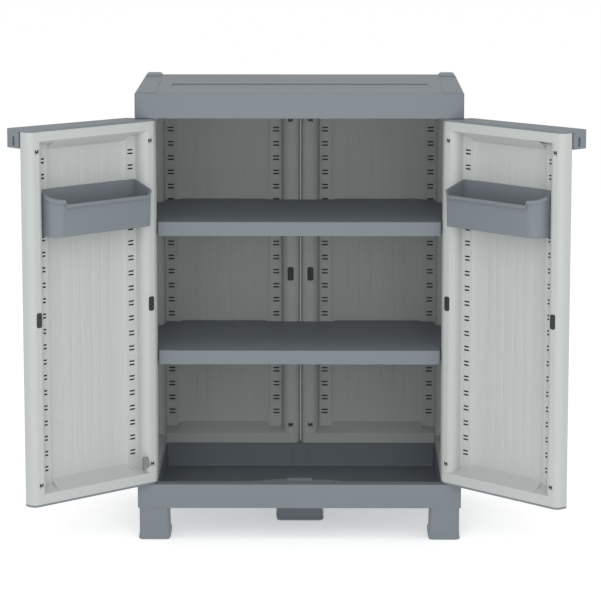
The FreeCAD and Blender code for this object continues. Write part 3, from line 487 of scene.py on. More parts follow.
def turn_about(bm, degrees, axis):
    """Turns a shape about an axis through the origin."""
    bmesh.ops.rotate(bm, matrix=Matrix.Rotation(math.radians(degrees), 3, axis), verts=bm.verts)
    return bm


def finish_piece(name, bm, body, materials, nodes):
    """Makes an object of a shape, which rides on a body and stands for nodes of the frame."""
    mesh = bpy.data.meshes.new(name)
    bm.normal_update()
    bm.to_mesh(mesh)
    bm.free()
    for material in materials:
        mesh.materials.append(material)
    mesh.shade_smooth()
    mesh.set_sharp_from_angle(angle=math.radians(SHADE_SHARP))
    piece = bpy.data.objects.new(name, mesh)
    bpy.context.scene.collection.objects.link(piece)
    weighted = piece.modifiers.new("even_shading", "WEIGHTED_NORMAL")
    weighted.keep_sharp = True
    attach(piece, body)
    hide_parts(*nodes)
    return piece


# Where a panel's own drawing goes: x from the hinge or first edge, y from the outside, z up

def door_place(side):
    """Open place of a door's drawing."""
    sizes = bpy.context.scene.cabinet_doors
    hinge = HINGES[side + "_door"]
    sign = SIDES[side]
    turn = Matrix.Rotation(sign * math.radians(hinge["range_deg"][1]), 4, "Z")
    mirror = Matrix.Diagonal((-sign, 1.0, 1.0, 1.0))
    pivot = Matrix.Translation((hinge["pos_m"][0], hinge["pos_m"][1], 0.0))
    return pivot @ turn @ mirror @ Matrix.Translation((-sizes.pivot_inset, -sizes.pivot_depth, 0.0))


def back_place(side):
    """Place of a back panel's drawing, its outside to the rear."""
    mirror = Matrix.Diagonal((SIDES[side], 1.0, 1.0, 1.0))
    return (mirror @ Matrix.Translation((BACK_LOW.x, BACK_HIGH.y, 0.0))
            @ Matrix.Diagonal((1.0, -1.0, 1.0, 1.0)))


def side_place(side):
    """Place of a side panel's drawing, its outside to the side."""
    mirror = Matrix.Diagonal((SIDES[side], 1.0, 1.0, 1.0))
    return (mirror @ Matrix.Translation((SIDE_HIGH.x, SIDE_LOW.y, 0.0))
            @ Matrix.Rotation(math.radians(90.0), 4, "Z"))


# Plastics

def add_node(tree, kind, values):
    """New shader node, with values for some of its inputs."""
    node = tree.nodes.new(kind)
    for socket, value in values.items():
        node.inputs[socket].default_value = value
    return node


def plastic(name, base, roughness, grain, grain_height, tint):
    """Moulded plastic: grain is the scale of its pattern along X, Y and Z."""
    material = bpy.data.materials.new(name)
    material.use_nodes = True
    tree = material.node_tree
    link = tree.links.new
    shader = tree.nodes["Principled BSDF"]
    shader.inputs["Specular IOR Level"].default_value = 0.4
    # patterns: long streaks, fine speckle and broad clouds
    coordinates = add_node(tree, "ShaderNodeTexCoord", {})
    mapping = add_node(tree, "ShaderNodeMapping", {"Scale": grain})
    streaks = add_node(tree, "ShaderNodeTexNoise", {"Scale": 1.0, "Detail": 6.0, "Roughness": 0.6})
    speckle = add_node(tree, "ShaderNodeTexNoise", {"Scale": 900.0, "Detail": 3.0})
    clouds = add_node(tree, "ShaderNodeTexNoise", {"Scale": 9.0, "Detail": 2.0})
    link(coordinates.outputs["Object"], mapping.inputs["Vector"])
    link(mapping.outputs["Vector"], streaks.inputs["Vector"])
    link(coordinates.outputs["Object"], speckle.inputs["Vector"])
    link(coordinates.outputs["Object"], clouds.inputs["Vector"])
    # colour, a little darker and lighter by streaks and clouds
    shade = tree.nodes.new("ShaderNodeMix")
    shade.data_type = "RGBA"
    darker = [channel * (1.0 - tint) for channel in base]
    lighter = [min(1.0, channel * (1.0 + tint)) for channel in base]
    shade.inputs["A"].default_value = (*darker, 1.0)
    shade.inputs["B"].default_value = (*lighter, 1.0)
    blend = add_node(tree, "ShaderNodeMath", {1: 0.7})
    blend.operation = "MULTIPLY_ADD"
    share = add_node(tree, "ShaderNodeMath", {1: 0.3})
    share.operation = "MULTIPLY"
    link(streaks.outputs["Fac"], blend.inputs[0])
    link(clouds.outputs["Fac"], share.inputs[0])
    link(share.outputs["Value"], blend.inputs[2])
    link(blend.outputs["Value"], shade.inputs["Factor"])
    link(shade.outputs["Result"], shader.inputs["Base Color"])
    # gloss and relief
    gloss = add_node(tree, "ShaderNodeMapRange",
                     {"To Min": roughness - 0.06, "To Max": roughness + 0.06})
    link(speckle.outputs["Fac"], gloss.inputs["Value"])
    link(gloss.outputs["Result"], shader.inputs["Roughness"])
    coarse = add_node(tree, "ShaderNodeBump", {"Strength": 0.6, "Distance": grain_height})
    fine = add_node(tree, "ShaderNodeBump", {"Strength": 0.25, "Distance": 0.0001})
    link(streaks.outputs["Fac"], coarse.inputs["Height"])
    link(speckle.outputs["Fac"], fine.inputs["Height"])
    link(coarse.outputs["Normal"], fine.inputs["Normal"])
    link(fine.outputs["Normal"], shader.inputs["Normal"])
    return material


def finish_of(name):
    """Material of a plastic, made the first time it is asked for."""
    known = bpy.data.materials.get(name)
    if known is not None:
        return known
    colours = bpy.context.scene.cabinet_colours
    # colour, roughness, scale of the grain, height of the grain in metres, and tint
    finishes = {
        "wood_grained_plastic": (colours.panel, 0.52, (150.0, 150.0, 7.0), 0.00025, 0.035),
        "body_plastic": (colours.body, 0.46, (45.0, 45.0, 45.0), 0.00006, 0.03),
        # black: real on the plugs, painted shade in the slots and in the clips' pockets
        "black_plastic_and_painted_shade": (colours.black_and_painted_shade, 0.40, (120.0, 120.0, 120.0), 0.00005, 0.12),
        "catch_plastic": (colours.catch, 0.42, (80.0, 80.0, 80.0), 0.00005, 0.04),
    }
    return plastic(name, *finishes[name])


def body_piece(name, bm, body, node):
    """Piece in the blue grey plastic, which stands for one node."""
    return finish_piece(name, bm, body, [finish_of("body_plastic")], [node])


def panel_piece(name, bm, body, node):
    """Piece in the wood-grained plastic, with slots painted black as shade, which stands for one node.
    """
    return finish_piece(name, bm, body,
                        [finish_of("wood_grained_plastic"), finish_of("black_plastic_and_painted_shade")], [node])


def fitting_piece(name, bm, body, node, *others):
    """Black fittings, whose black is painted shade where it fills a clip's pocket, perhaps with parts in
    another plastic, which stand for one node.
    """
    materials = [finish_of(kind) for kind in ("black_plastic_and_painted_shade", *others)]
    return finish_piece(name, bm, body, materials, [node])


# Panels

# How far the shape that cuts the recess reaches above the frame, and beside its rounded rims
RECESS_ABOVE = 0.005
RECESS_BESIDE = 0.001

# Half the depth of the shape that cuts a pocket
POCKET_HALF = 0.005

# How deep the tongue of a back panel is rooted, and how far it ends from the panel's ends
BACK_TONGUE_ROOT = 0.01
BACK_TONGUE_END = 0.001

# Share of a border's run that its steep part, beside the strip, takes
STEEP_SHARE = 0.25


def slot_heights():
    """Lower and upper ends of all the slots of a column."""
    sizes = bpy.context.scene.cabinet_slots
    heights = []
    for row in range(sizes.row_count):
        for step in (-0.5, 0.5):
            middle = sizes.first_row + row * sizes.row_pitch + step * sizes.pair_gap
            heights.append((middle - sizes.height / 2.0, middle + sizes.height / 2.0))
    return heights


def cut_slots(bm, level, column):
    """Sinks a column of slots into a strip, with their floors and walls painted black as the shade
    inside them.
    """
    sizes = bpy.context.scene.cabinet_slots
    heights = slot_heights()
    low = (column - sizes.width / 2.0, 0.0, heights[0][0])
    high = (column + sizes.width / 2.0, 0.0, heights[-1][1])
    rest = bmesh.ops.dissolve_faces(bm, faces=window(bm, 1, level, low, high))["region"]
    slots = []
    lines = [height for pair in heights for height in pair][1:-1]
    for i, line in enumerate(lines):
        parts = [item for item in score(bm, rest, 2, line) if isinstance(item, bmesh.types.BMFace)]
        parts.sort(key=lambda face: face.calc_center_bounds().z)
        if i % 2 == 0:
            slots.append(parts[0])
        rest = [parts[-1]]
    slots += rest
    bmesh.ops.inset_individual(bm, faces=slots, thickness=sizes.rim, depth=-sizes.rim,
                               use_even_offset=True)
    floors = bmesh.ops.extrude_discrete_faces(bm, faces=slots)["faces"]
    verts = list({vert for face in floors for vert in face.verts})
    bmesh.ops.translate(bm, vec=(0.0, -sizes.depth, 0.0), verts=verts)
    # floors and walls of the slots: painted shade, black as the inside of a deep hole
    for face in {face for vert in verts for face in vert.link_faces}:
        face.material_index = 1


def wander(i, z):
    """Sideways stray of groove i at a height, from minus one to one."""
    return 0.6 * math.sin(9.0 * z + 2.3 * i) + 0.4 * math.sin(23.0 * z + 1.7 * i * i)


def cut_boards(bm, level, low, high, count, inward):
    """Divides a flat field into upright boards, with shallow grooves that wander a little."""
    sizes = bpy.context.scene.cabinet_panels
    pitch = (high[0] - low[0]) / count
    half = sizes.groove_width / 2.0

    def field():
        return [face for face in bm.faces if flat(face, 1, level) and within(face, low, high, (0, 2))]

    for i in range(1, count):
        for side in (-1.0, 0.0, 1.0):
            score(bm, field(), 0, low[0] + i * pitch + side * half)
    for i in range(1, sizes.groove_steps):
        score(bm, field(), 2, low[2] + i * (high[2] - low[2]) / sizes.groove_steps)
    verts = {vert for face in field() for vert in face.verts}
    for vert in verts:
        i = round((vert.co.x - low[0]) / pitch)
        offset = vert.co.x - low[0] - i * pitch
        if i in (0, count) or abs(offset) > half + TINY:
            continue
        inner = low[2] + TINY < vert.co.z < high[2] - TINY
        vert.co.x += sizes.groove_wander * wander(i, vert.co.z)
        if inner and abs(offset) < TINY:
            vert.co.y += inward * sizes.groove_depth


def recess_room(width):
    """Room of the recess: its upright rims are well rounded, and its two ends slope."""
    sizes = bpy.context.scene.cabinet_panels
    slots = bpy.context.scene.cabinet_slots
    face_y = sizes.thickness
    floor_y = face_y - sizes.recess_depth
    field_y = floor_y - sizes.field_step
    mouth = face_y + sizes.rim_relief
    above = face_y + RECESS_ABOVE
    low = sizes.recess_low
    high = sizes.recess_high
    x0 = sizes.frame_band
    x1 = width - sizes.frame_band
    reach = sizes.rim_radius + RECESS_BESIDE
    foot = sizes.foot_radius
    room = prism([(x0 - reach, above, 0.0), (x0 - reach, mouth, 0.0), (x0, mouth, sizes.rim_radius),
                  (x0 + sizes.recess_draft, floor_y, foot), (x1 - sizes.recess_draft, floor_y, foot),
                  (x1, mouth, sizes.rim_radius), (x1 + reach, mouth, 0.0), (x1 + reach, above, 0.0)],
                 low - CUT_PAST, high + CUT_PAST)
    slope = sizes.recess_slope
    rise = slope * (above - floor_y) / sizes.recess_depth
    ends = bar([(floor_y, low + slope, 0.0), (above, low + slope - rise, 0.0),
                (above, high - slope + rise, 0.0), (floor_y, high - slope, 0.0)], 0.0, width)
    room = combine(room, ends, "INTERSECT")
    strip = slots.column_inset + sizes.strip_width / 2.0
    for level, run in ((low, sizes.field_end_slope), (high, -sizes.field_end_slope)):
        fill = bar([(face_y, level, 0.0), (field_y, level + run, 0.0), (field_y, level, 0.0)],
                   strip, width - strip)
        for vert in fill.verts:
            if abs(vert.co.z - level - run) < TINY:
                vert.co.x += math.copysign(sizes.field_side_slope * STEEP_SHARE, width / 2.0 - vert.co.x)
        room = combine(room, fill, "DIFFERENCE")
    return room


def panel_shape(width, bottom, top, outer_radius, inner_radius, pockets):
    """Moulded panel with a frame, a recess with slots and a field of boards."""
    sizes = bpy.context.scene.cabinet_panels
    slots = bpy.context.scene.cabinet_slots
    doors = bpy.context.scene.cabinet_doors
    face_y = sizes.thickness
    bm = block((0.0, 0.0, bottom), (width, face_y, top))
    bevel(bm, [edge for edge in upright_edges(bm) if flat(edge, 1, face_y)], inner_radius, 8)
    bevel(bm, [edge for edge in upright_edges(bm) if flat(edge, 1, 0.0)], outer_radius, 4)
    bm = combine(bm, recess_room(width), "DIFFERENCE")
    # pockets of the square clips
    holes = bmesh.new()
    for x, z in pockets:
        half = Vector((doors.clip_width / 2.0, POCKET_HALF, doors.clip_height / 2.0))
        middle = Vector((x, face_y - doors.clip_depth + POCKET_HALF, z))
        add(holes, block(middle - half, middle + half))
    if pockets:
        bm = combine(bm, holes, "DIFFERENCE")
    # field of boards between the two strips
    floor_y = face_y - sizes.recess_depth
    field_y = floor_y - sizes.field_step
    strip = slots.column_inset + sizes.strip_width / 2.0
    step_rise = sizes.field_end_slope * sizes.field_step / (face_y - field_y)
    low = (strip, 0.0, sizes.recess_low + sizes.field_end_slope - step_rise)
    high = (width - strip, 0.0, sizes.recess_high - sizes.field_end_slope + step_rise)
    field = window(bm, 1, floor_y, low, high)
    steep = (sizes.field_step - sizes.field_foot) / sizes.field_step
    field = sink(bm, field, (0.0, sizes.field_foot - sizes.field_step, 0.0),
                 (sizes.field_side_slope * STEEP_SHARE, 0.0, step_rise * steep))
    sink(bm, field, (0.0, -sizes.field_foot, 0.0),
         (sizes.field_side_slope * (1.0 - STEEP_SHARE), 0.0, step_rise * (1.0 - steep)))
    low = (strip + sizes.field_side_slope, 0.0, low[2] + step_rise)
    high = (width - strip - sizes.field_side_slope, 0.0, high[2] - step_rise)
    cut_boards(bm, field_y, low, high, sizes.boards_inside, -1.0)
    for column in (slots.column_inset, width - slots.column_inset):
        cut_slots(bm, floor_y, column)
    # boards outside
    step = sizes.outside_step
    low = (sizes.frame_band, 0.0, sizes.recess_low)
    high = (width - sizes.frame_band, 0.0, sizes.recess_high)
    outside = window(bm, 1, 0.0, low, high)
    sink(bm, outside, (0.0, step, 0.0), (step, 0.0, step))
    low = (low[0] + step, 0.0, low[2] + step)
    high = (high[0] - step, 0.0, high[2] - step)
    cut_boards(bm, step, low, high, sizes.boards_outside, 1.0)
    return bm


def clip_places(width, columns):
    """Centres of the square clips of a panel, beside the slot columns near both ends."""
    slots = bpy.context.scene.cabinet_slots
    doors = bpy.context.scene.cabinet_doors
    low = DOOR_LOW.z + doors.clip_from_end
    high = DOOR_HIGH.z - doors.clip_from_end
    inset = slots.column_inset - doors.clip_from_column
    xs = {"first": inset, "last": width - inset}
    return [(xs[column], z) for column in columns for z in (low, high)]


class CABINET_OT_door_panels(bpy.types.Operator):
    """Door panels with recess, slots, boards and pockets"""
    bl_idname = "cabinet.door_panels"
    bl_label = "Door panels"

    def execute(self, context):
        sizes = context.scene.cabinet_panels
        for side in SIDES:
            pockets = clip_places(sizes.width, ("first", "last"))
            bm = panel_shape(sizes.width, DOOR_LOW.z, DOOR_HIGH.z, sizes.door_radius,
                             sizes.inner_radius, pockets)
            place(bm, door_place(side))
            panel_piece("door_shell_" + side, bm, side + "_door", "door_panel_" + side)
        return {"FINISHED"}


class CABINET_OT_back_panels(bpy.types.Operator):
    """Back panels, side by side, with their slots towards the inside"""
    bl_idname = "cabinet.back_panels"
    bl_label = "Back panels"

    def execute(self, context):
        sizes = context.scene.cabinet_panels
        for side in SIDES:
            pockets = clip_places(sizes.width, ("first",))
            bm = panel_shape(sizes.width, BACK_LOW.z, BACK_HIGH.z, sizes.outer_radius,
                             sizes.inner_radius, pockets)
            tongue = block((-sizes.tongue_reach, sizes.thickness / 4.0, BACK_LOW.z + BACK_TONGUE_END),
                           (BACK_TONGUE_ROOT, sizes.thickness / 2.0, BACK_HIGH.z - BACK_TONGUE_END))
            bm = combine(bm, tongue, "UNION")
            place(bm, back_place(side))
            panel_piece("back_shell_" + side, bm, "root", "back_panel_" + side)
        return {"FINISHED"}


class CABINET_OT_side_panels(bpy.types.Operator):
    """Side panels between the doors and the back"""
    bl_idname = "cabinet.side_panels"
    bl_label = "Side panels"

    def execute(self, context):
        sizes = context.scene.cabinet_panels
        for side in SIDES:
            bm = panel_shape(SIDE_HIGH.y - SIDE_LOW.y, SIDE_LOW.z, SIDE_HIGH.z, sizes.outer_radius,
                             sizes.side_radius, [])
            place(bm, side_place(side))
            panel_piece("side_shell_" + side, bm, "root", "side_panel_" + side)
        return {"FINISHED"}


# Rails and strips of the doors

# Rounding of the grip's two outer corners
GRIP_START_RADIUS = 0.004
GRIP_END_RADIUS = 0.002

# Gap between the padlock ear and the door, the flange behind the ear, and how far both end below the top
EAR_GAP = 0.0003
FLANGE_THICKNESS = 0.004
FLANGE_INSET = 0.0001
EAR_BELOW_TOP = 0.001

# Rounding of the ends of the ear's slot, as a share of its half width
EAR_SLOT_ROUND = 0.98


def door_plan(grip):
    """Plan of a closed door, with the grip of the top rail if asked for."""
    panels = bpy.context.scene.cabinet_panels
    doors = bpy.context.scene.cabinet_doors
    width = panels.width
    front = [(0.0, 0.0, panels.door_radius)]
    if grip:
        front += [(doors.grip_start, 0.0, 0.0),
                  (doors.grip_start + doors.grip_ramp, -doors.grip_hinge_width, GRIP_START_RADIUS),
                  (width, -doors.grip_free_width, GRIP_END_RADIUS)]
    else:
        front += [(width, 0.0, panels.door_radius)]
    return front + [(width, panels.thickness, panels.inner_radius),
                    (0.0, panels.thickness, panels.inner_radius)]


def top_rail_shape():
    """Top rail with the grip, the padlock ear and the flange behind it."""
    doors = bpy.context.scene.cabinet_doors
    width = bpy.context.scene.cabinet_panels.width
    bm = prism(door_plan(True), DOOR_HIGH.z, RAIL_HIGH.z)
    x0 = width - doors.ear_thickness
    y0 = -doors.grip_free_width
    y1 = -EAR_GAP
    top = RAIL_HIGH.z - EAR_BELOW_TOP
    ear = prism([(x0, y0, 0.0), (width, y0, 0.0), (width, y1, 0.0), (x0, y1, 0.0)], RAIL_LOW.z, top)
    bm = combine(bm, ear, "UNION")
    flange = block((width - doors.ear_flange, y1 - FLANGE_THICKNESS, RAIL_LOW.z),
                   (width - FLANGE_INSET, y1 - FLANGE_INSET, top))
    bm = combine(bm, flange, "UNION")
    half = doors.ear_slot_width / 2.0
    radius = half * EAR_SLOT_ROUND
    foot = -RAIL_LOW.z - doors.ear_slot_rise
    head = foot - doors.ear_slot_height
    near = -doors.ear_slot_out + half
    far = -doors.ear_slot_out - half
    slot = prism([(head, far, radius), (foot, far, radius), (foot, near, radius), (head, near, radius)],
                 width - 2.0 * doors.ear_thickness, width + doors.ear_thickness)
    bm = combine(bm, turn_about(slot, 90.0, "Y"), "DIFFERENCE")
    bevel(bm, sharp_edges(bm), doors.edge, 2)
    return bm


class CABINET_OT_top_rails(bpy.types.Operator):
    """Top rails of the doors, with the tapering grip and the padlock ear"""
    bl_idname = "cabinet.top_rails"
    bl_label = "Top rails"

    def execute(self, context):
        for side in SIDES:
            bm = place(top_rail_shape(), door_place(side))
            body_piece("top_rail_" + side, bm, side + "_door", "door_top_rail_" + side)
        return {"FINISHED"}


class CABINET_OT_bottom_strips(bpy.types.Operator):
    """Strips that close the lower ends of the doors"""
    bl_idname = "cabinet.bottom_strips"
    bl_label = "Bottom strips"

    def execute(self, context):
        for side in SIDES:
            bm = prism(door_plan(False), STRIP_LOW.z, STRIP_HIGH.z)
            bevel(bm, sharp_edges(bm), context.scene.cabinet_doors.edge, 2)
            place(bm, door_place(side))
            body_piece("bottom_strip_" + side, bm, side + "_door", "door_bottom_strip_" + side)
        return {"FINISHED"}


# Bins

# How far the lowered front is cut inwards, and how far below the rim its untrimmed shape starts
NOTCH_REACH = 0.012
RIM_BELOW = 0.002


def bin_plan(grow, grow_hinge, y_back, y_field):
    """Plan of a bin, grown by a margin; its back follows the field of boards."""
    sizes = bpy.context.scene.cabinet_bins
    panels = bpy.context.scene.cabinet_panels
    slots = bpy.context.scene.cabinet_slots
    x0 = panels.frame_band + sizes.hinge_clearance - grow_hinge
    x1 = panels.width - panels.frame_band - sizes.free_clearance + grow
    front = panels.thickness - panels.recess_depth + sizes.depth + grow
    strip = slots.column_inset + panels.strip_width / 2.0 + sizes.step_gap
    run = sizes.step_run
    back = [(x0, y_back, 0.0), (x1, y_back, 0.0)]
    if y_field < y_back:
        back = [(x0, y_back, 0.0), (strip, y_back, 0.0), (strip + run, y_field, 0.0),
                (panels.width - strip - run, y_field, 0.0), (panels.width - strip, y_back, 0.0),
                (x1, y_back, 0.0)]
    return back + [(x1, front, sizes.free_radius + grow), (x0, front, sizes.hinge_radius + grow)]


def above_rim(drop):
    """Room above a bin's rim: it falls from the back to the front, and is lower along the front."""
    sizes = bpy.context.scene.cabinet_bins
    panels = bpy.context.scene.cabinet_panels
    past = 2.0 * CUT_PAST
    back = panels.thickness - panels.recess_depth
    front = back + sizes.depth
    top = BIN_HIGH.z - drop
    shoulder = top - sizes.side_drop
    low = shoulder - sizes.notch_drop
    room = bar([(back + sizes.wall, top, 0.0), (front - sizes.wall, shoulder, 0.0),
                (front + past, shoulder, 0.0), (front + past, top + past, 0.0),
                (back - past, top + past, 0.0), (back - past, top, 0.0)], 0.0, panels.width)
    turn = Matrix.Rotation(math.radians(90.0), 4, "X")
    start = sizes.notch_start
    end = sizes.notch_end
    ramp = sizes.notch_ramp
    notch = prism([(start - ramp * 0.5, low, 0.0), (end + ramp * 0.5, low, 0.0),
                   (end + ramp, shoulder, 0.0), (end + ramp * 2.0, top + past, 0.0),
                   (start - ramp * 1.5, top + past, 0.0), (start - ramp, shoulder, 0.0)],
                  -front - past, -front + NOTCH_REACH)
    return combine(room, place(notch, turn), "UNION")


def bin_shape():
    """Open bin with walls that lean in, a rolled rim along the front and hooks."""
    sizes = bpy.context.scene.cabinet_bins
    panels = bpy.context.scene.cabinet_panels
    slots = bpy.context.scene.cabinet_slots
    back = panels.thickness - panels.recess_depth + sizes.back_clearance
    front = panels.thickness - panels.recess_depth + sizes.depth
    middle_x = panels.width / 2.0
    wall = sizes.wall

    def leaning(corners, z0, z1):
        """Solid on a plan whose walls lean in towards the floor of the bin."""
        shape = prism(corners, z0, z1)
        for vert in shape.verts:
            lean = (BIN_HIGH.z - vert.co.z) / (BIN_HIGH.z - BIN_LOW.z) * sizes.taper
            share = max(0.0, (vert.co.y - back) / (front - back))
            vert.co.x += math.copysign(lean, middle_x - vert.co.x)
            vert.co.y -= lean * share
        return shape

    body = leaning(bin_plan(0.0, 0.0, back, back - sizes.back_step), BIN_LOW.z, BIN_HIGH.z)
    foot = [edge for edge in edges_at(body, 2, BIN_LOW.z)
            if max(vert.co.y for vert in edge.verts) > back]
    bevel(body, foot, sizes.foot_radius, 3)
    body = combine(body, above_rim(0.0), "DIFFERENCE")
    rim_foot = BIN_HIGH.z - sizes.side_drop - sizes.notch_drop - sizes.rim_height - RIM_BELOW
    over_frame = panels.thickness + sizes.rim_gap
    rim = leaning(bin_plan(sizes.rim_out, sizes.rim_hinge_out, over_frame, over_frame),
                  rim_foot, BIN_HIGH.z)
    rim = combine(rim, above_rim(0.0), "DIFFERENCE")
    rim = combine(rim, above_rim(sizes.rim_height), "INTERSECT")
    body = combine(body, rim, "UNION")
    inner = leaning(bin_plan(-wall, -wall, back + wall, back + wall - sizes.back_step),
                    BIN_LOW.z + wall, BIN_HIGH.z + OVERLAP)
    body = combine(body, inner, "DIFFERENCE")
    hooks = bmesh.new()
    half = Vector((slots.width / 2.0 - sizes.hook_play, 0.0, slots.height / 2.0 - sizes.hook_play))
    for x in (slots.column_inset, panels.width - slots.column_inset):
        for step in (-0.5, 0.5):
            z = BIN_HIGH.z - sizes.hook_drop + step * slots.pair_gap
            add(hooks, block((x - half.x, back - slots.depth + sizes.hook_play, z - half.z),
                             (x + half.x, back + wall / 2.0, z + half.z)))
    return combine(body, hooks, "UNION")


class CABINET_OT_door_bins(bpy.types.Operator):
    """Bins that hang in the slots of the doors"""
    bl_idname = "cabinet.door_bins"
    bl_label = "Door bins"

    def execute(self, context):
        sizes = context.scene.cabinet_bins
        for side in SIDES:
            bm = place(bin_shape(), door_place(side))
            piece = body_piece("bin_shell_" + side, bm, side + "_door", "door_bin_" + side)
            rounding = piece.modifiers.new("rounding", "BEVEL")
            rounding.width = sizes.edge
            rounding.segments = 2
            rounding.angle_limit = math.radians(ROUND_SHARP)
            piece.modifiers.move(0, 1)
        return {"FINISHED"}


# Small fittings

# How deep a plug sits in the frame, and the rounding of its face as a share of what stands proud
PLUG_SEAT = 0.002
PLUG_DOME = 0.8

# Light parts of a square clip, as shares of half its width and height: the tongue, then the bar
CLIP_TONGUE_HALF = 0.25
CLIP_TONGUE_FOOT = 0.40
CLIP_BAR_END = 0.60
CLIP_BAR_FOOT = 0.85
CLIP_BAR_HEAD = 0.55


def plug_shape(x, z):
    """Oval plug with a softly domed face."""
    doors = bpy.context.scene.cabinet_doors
    face_y = bpy.context.scene.cabinet_panels.thickness
    half = doors.plug_width / 2.0
    tall = doors.plug_height / 2.0
    corner = doors.plug_corner
    corners = [(x - half, -z - tall, corner), (x + half, -z - tall, corner),
               (x + half, -z + tall, corner), (x - half, -z + tall, corner)]
    bm = prism(corners, face_y - PLUG_SEAT, face_y + doors.plug_proud)
    bevel(bm, edges_at(bm, 2, face_y + doors.plug_proud), doors.plug_proud * PLUG_DOME, 3)
    return turn_about(bm, -90.0, "X")


def clip_shape(x, z):
    """Square snap clip: a dark block, painted shade of the pocket behind it, with a light tongue at the
    top and a light bar at the bottom.
    """
    doors = bpy.context.scene.cabinet_doors
    face_y = bpy.context.scene.cabinet_panels.thickness
    half_w = doors.clip_width / 2.0 - doors.clip_fit
    half_h = doors.clip_height / 2.0 - doors.clip_fit
    back_y = face_y - doors.clip_depth
    low_y = face_y - doors.clip_sunk
    high_y = face_y - doors.clip_sunk / 4.0
    # dark block: painted shade in the clip's pocket
    bm = block((x - half_w, back_y, z - half_h), (x + half_w, low_y, z + half_h))
    seat_y = low_y - OVERLAP
    tongue = block((x - half_w * CLIP_TONGUE_HALF, seat_y, z + half_h * CLIP_TONGUE_FOOT),
                   (x + half_w * CLIP_TONGUE_HALF, high_y, z + half_h))
    foot = block((x - half_w, seat_y, z - half_h * CLIP_BAR_FOOT),
                 (x + half_w * CLIP_BAR_END, high_y, z - half_h * CLIP_BAR_HEAD))
    for light in (tongue, foot):
        for face in light.faces:
            face.material_index = 1
        add(bm, light)
    return bm


def catch_shape():
    """Catch plate on the rounded rim of the left door, narrower at the top and slanted below."""
    doors = bpy.context.scene.cabinet_doors
    face_y = bpy.context.scene.cabinet_panels.thickness
    x0 = doors.catch_from_hinge
    x1 = x0 + doors.catch_width
    z0 = DOOR_LOW.z + doors.catch_from_bottom
    z1 = z0 + doors.catch_height
    corners = [(x1, -z0, 0.0), (x1, -z1, 0.0), (x0 + doors.catch_lean, -z1, 0.0),
               (x0, -z0 - doors.catch_cut, 0.0)]
    plate = prism(corners, face_y - doors.catch_seat, face_y + doors.catch_thickness)
    turn_about(plate, -90.0, "X")
    bevel(plate, sharp_edges(plate), FINE_EDGE, 2)
    return plate


class CABINET_OT_door_fittings(bpy.types.Operator):
    """Square clips, oval plugs and the catch plate of the doors"""
    bl_idname = "cabinet.door_fittings"
    bl_label = "Door fittings"

    def execute(self, context):
        width = context.scene.cabinet_panels.width
        middle = (DOOR_LOW.z + DOOR_HIGH.z) / 2.0
        for side in SIDES:
            places = clip_places(width, ("first", "last"))
            clips = bmesh.new()
            for x, z in places:
                add(clips, clip_shape(x, z))
            place(clips, door_place(side))
            fitting_piece("door_clips_" + side, clips, side + "_door", "door_square_clips_" + side,
                          "wood_grained_plastic")
            plugs = bmesh.new()
            for x in sorted({x for x, _ in places}):
                add(plugs, plug_shape(x, middle))
            place(plugs, door_place(side))
            fitting_piece("door_plugs_" + side, plugs, side + "_door", "door_oval_plugs_" + side)
        plate = place(catch_shape(), door_place("left"))
        finish_piece("catch_plate_left", plate, "left_door",
                     [finish_of("catch_plastic")], ["door_catch_left"])
        return {"FINISHED"}


class CABINET_OT_back_fittings(bpy.types.Operator):
    """Square clips and oval plugs beside the middle of the back"""
    bl_idname = "cabinet.back_fittings"
    bl_label = "Back fittings"

    def execute(self, context):
        width = context.scene.cabinet_panels.width
        middle = (DOOR_LOW.z + DOOR_HIGH.z) / 2.0
        clips = bmesh.new()
        plugs = bmesh.new()
        for side in SIDES:
            places = clip_places(width, ("first",))
            for x, z in places:
                add(clips, place(clip_shape(x, z), back_place(side)))
            add(plugs, place(plug_shape(places[0][0], middle), back_place(side)))
        fitting_piece("back_clips", clips, "root", "back_square_clips", "wood_grained_plastic")
        fitting_piece("back_plugs", plugs, "root", "back_oval_plugs")
        return {"FINISHED"}


# Lid

# Rounding in plan of a pad's outer corners and of a cap, the dome of a cap, and the rounding inside
PAD_OUTER_CORNER = 0.002
CAP_CORNER = 0.009
CAP_DOME = 0.0055
LID_INNER_RADIUS = 0.003

# Guides under the lid: their thickness, their play, and how far they reach down along the walls
GUIDE_THICKNESS = 0.003
GUIDE_PLAY = 0.0003
GUIDE_REACH = 0.009

# Seats over each side wall, how far they end inside the lid, and the boss for a hinge pin
SEAT_COUNT = 4
SEAT_END = 0.002
BOSS_RADIUS = 0.012


def lid_top():
    """Height of the flat top of the lid."""
    return LID_HIGH.z - bpy.context.scene.cabinet_lid.cap_rise


def lid_pad():
    """Raised pad along the right end of the lid."""
    sizes = bpy.context.scene.cabinet_lid
    x0 = LID_HIGH.x - sizes.pad_inner
    x1 = LID_HIGH.x - sizes.pad_outer
    y0 = LID_LOW.y + sizes.pad_end
    y1 = LID_HIGH.y - sizes.pad_end
    x_rear = LID_HIGH.x - sizes.pad_rear_inner
    top = lid_top() + sizes.pad_rise
    bm = prism([(x0, y0, sizes.pad_corner), (x1, y0, PAD_OUTER_CORNER), (x1, y1, PAD_OUTER_CORNER),
                (x_rear, y1, PAD_OUTER_CORNER)], lid_top() - OVERLAP, top)
    bevel(bm, edges_at(bm, 2, top), FINE_EDGE, 2)
    return bm


def lid_cap():
    """Swelling cap on the rear right corner of the lid."""
    sizes = bpy.context.scene.cabinet_lid
    x0 = LID_HIGH.x - sizes.pad_rear_inner
    x1 = LID_HIGH.x - sizes.edge_radius
    y0 = LID_HIGH.y - sizes.cap_depth
    y1 = LID_HIGH.y - sizes.edge_radius
    top = lid_top() + sizes.cap_rise
    bm = prism([(x0, y0, CAP_CORNER), (x1, y0, CAP_CORNER), (x1, y1, CAP_CORNER), (x0, y1, CAP_CORNER)],
               lid_top() - OVERLAP, top)
    bevel(bm, edges_at(bm, 2, top), CAP_DOME, 6)
    return bm


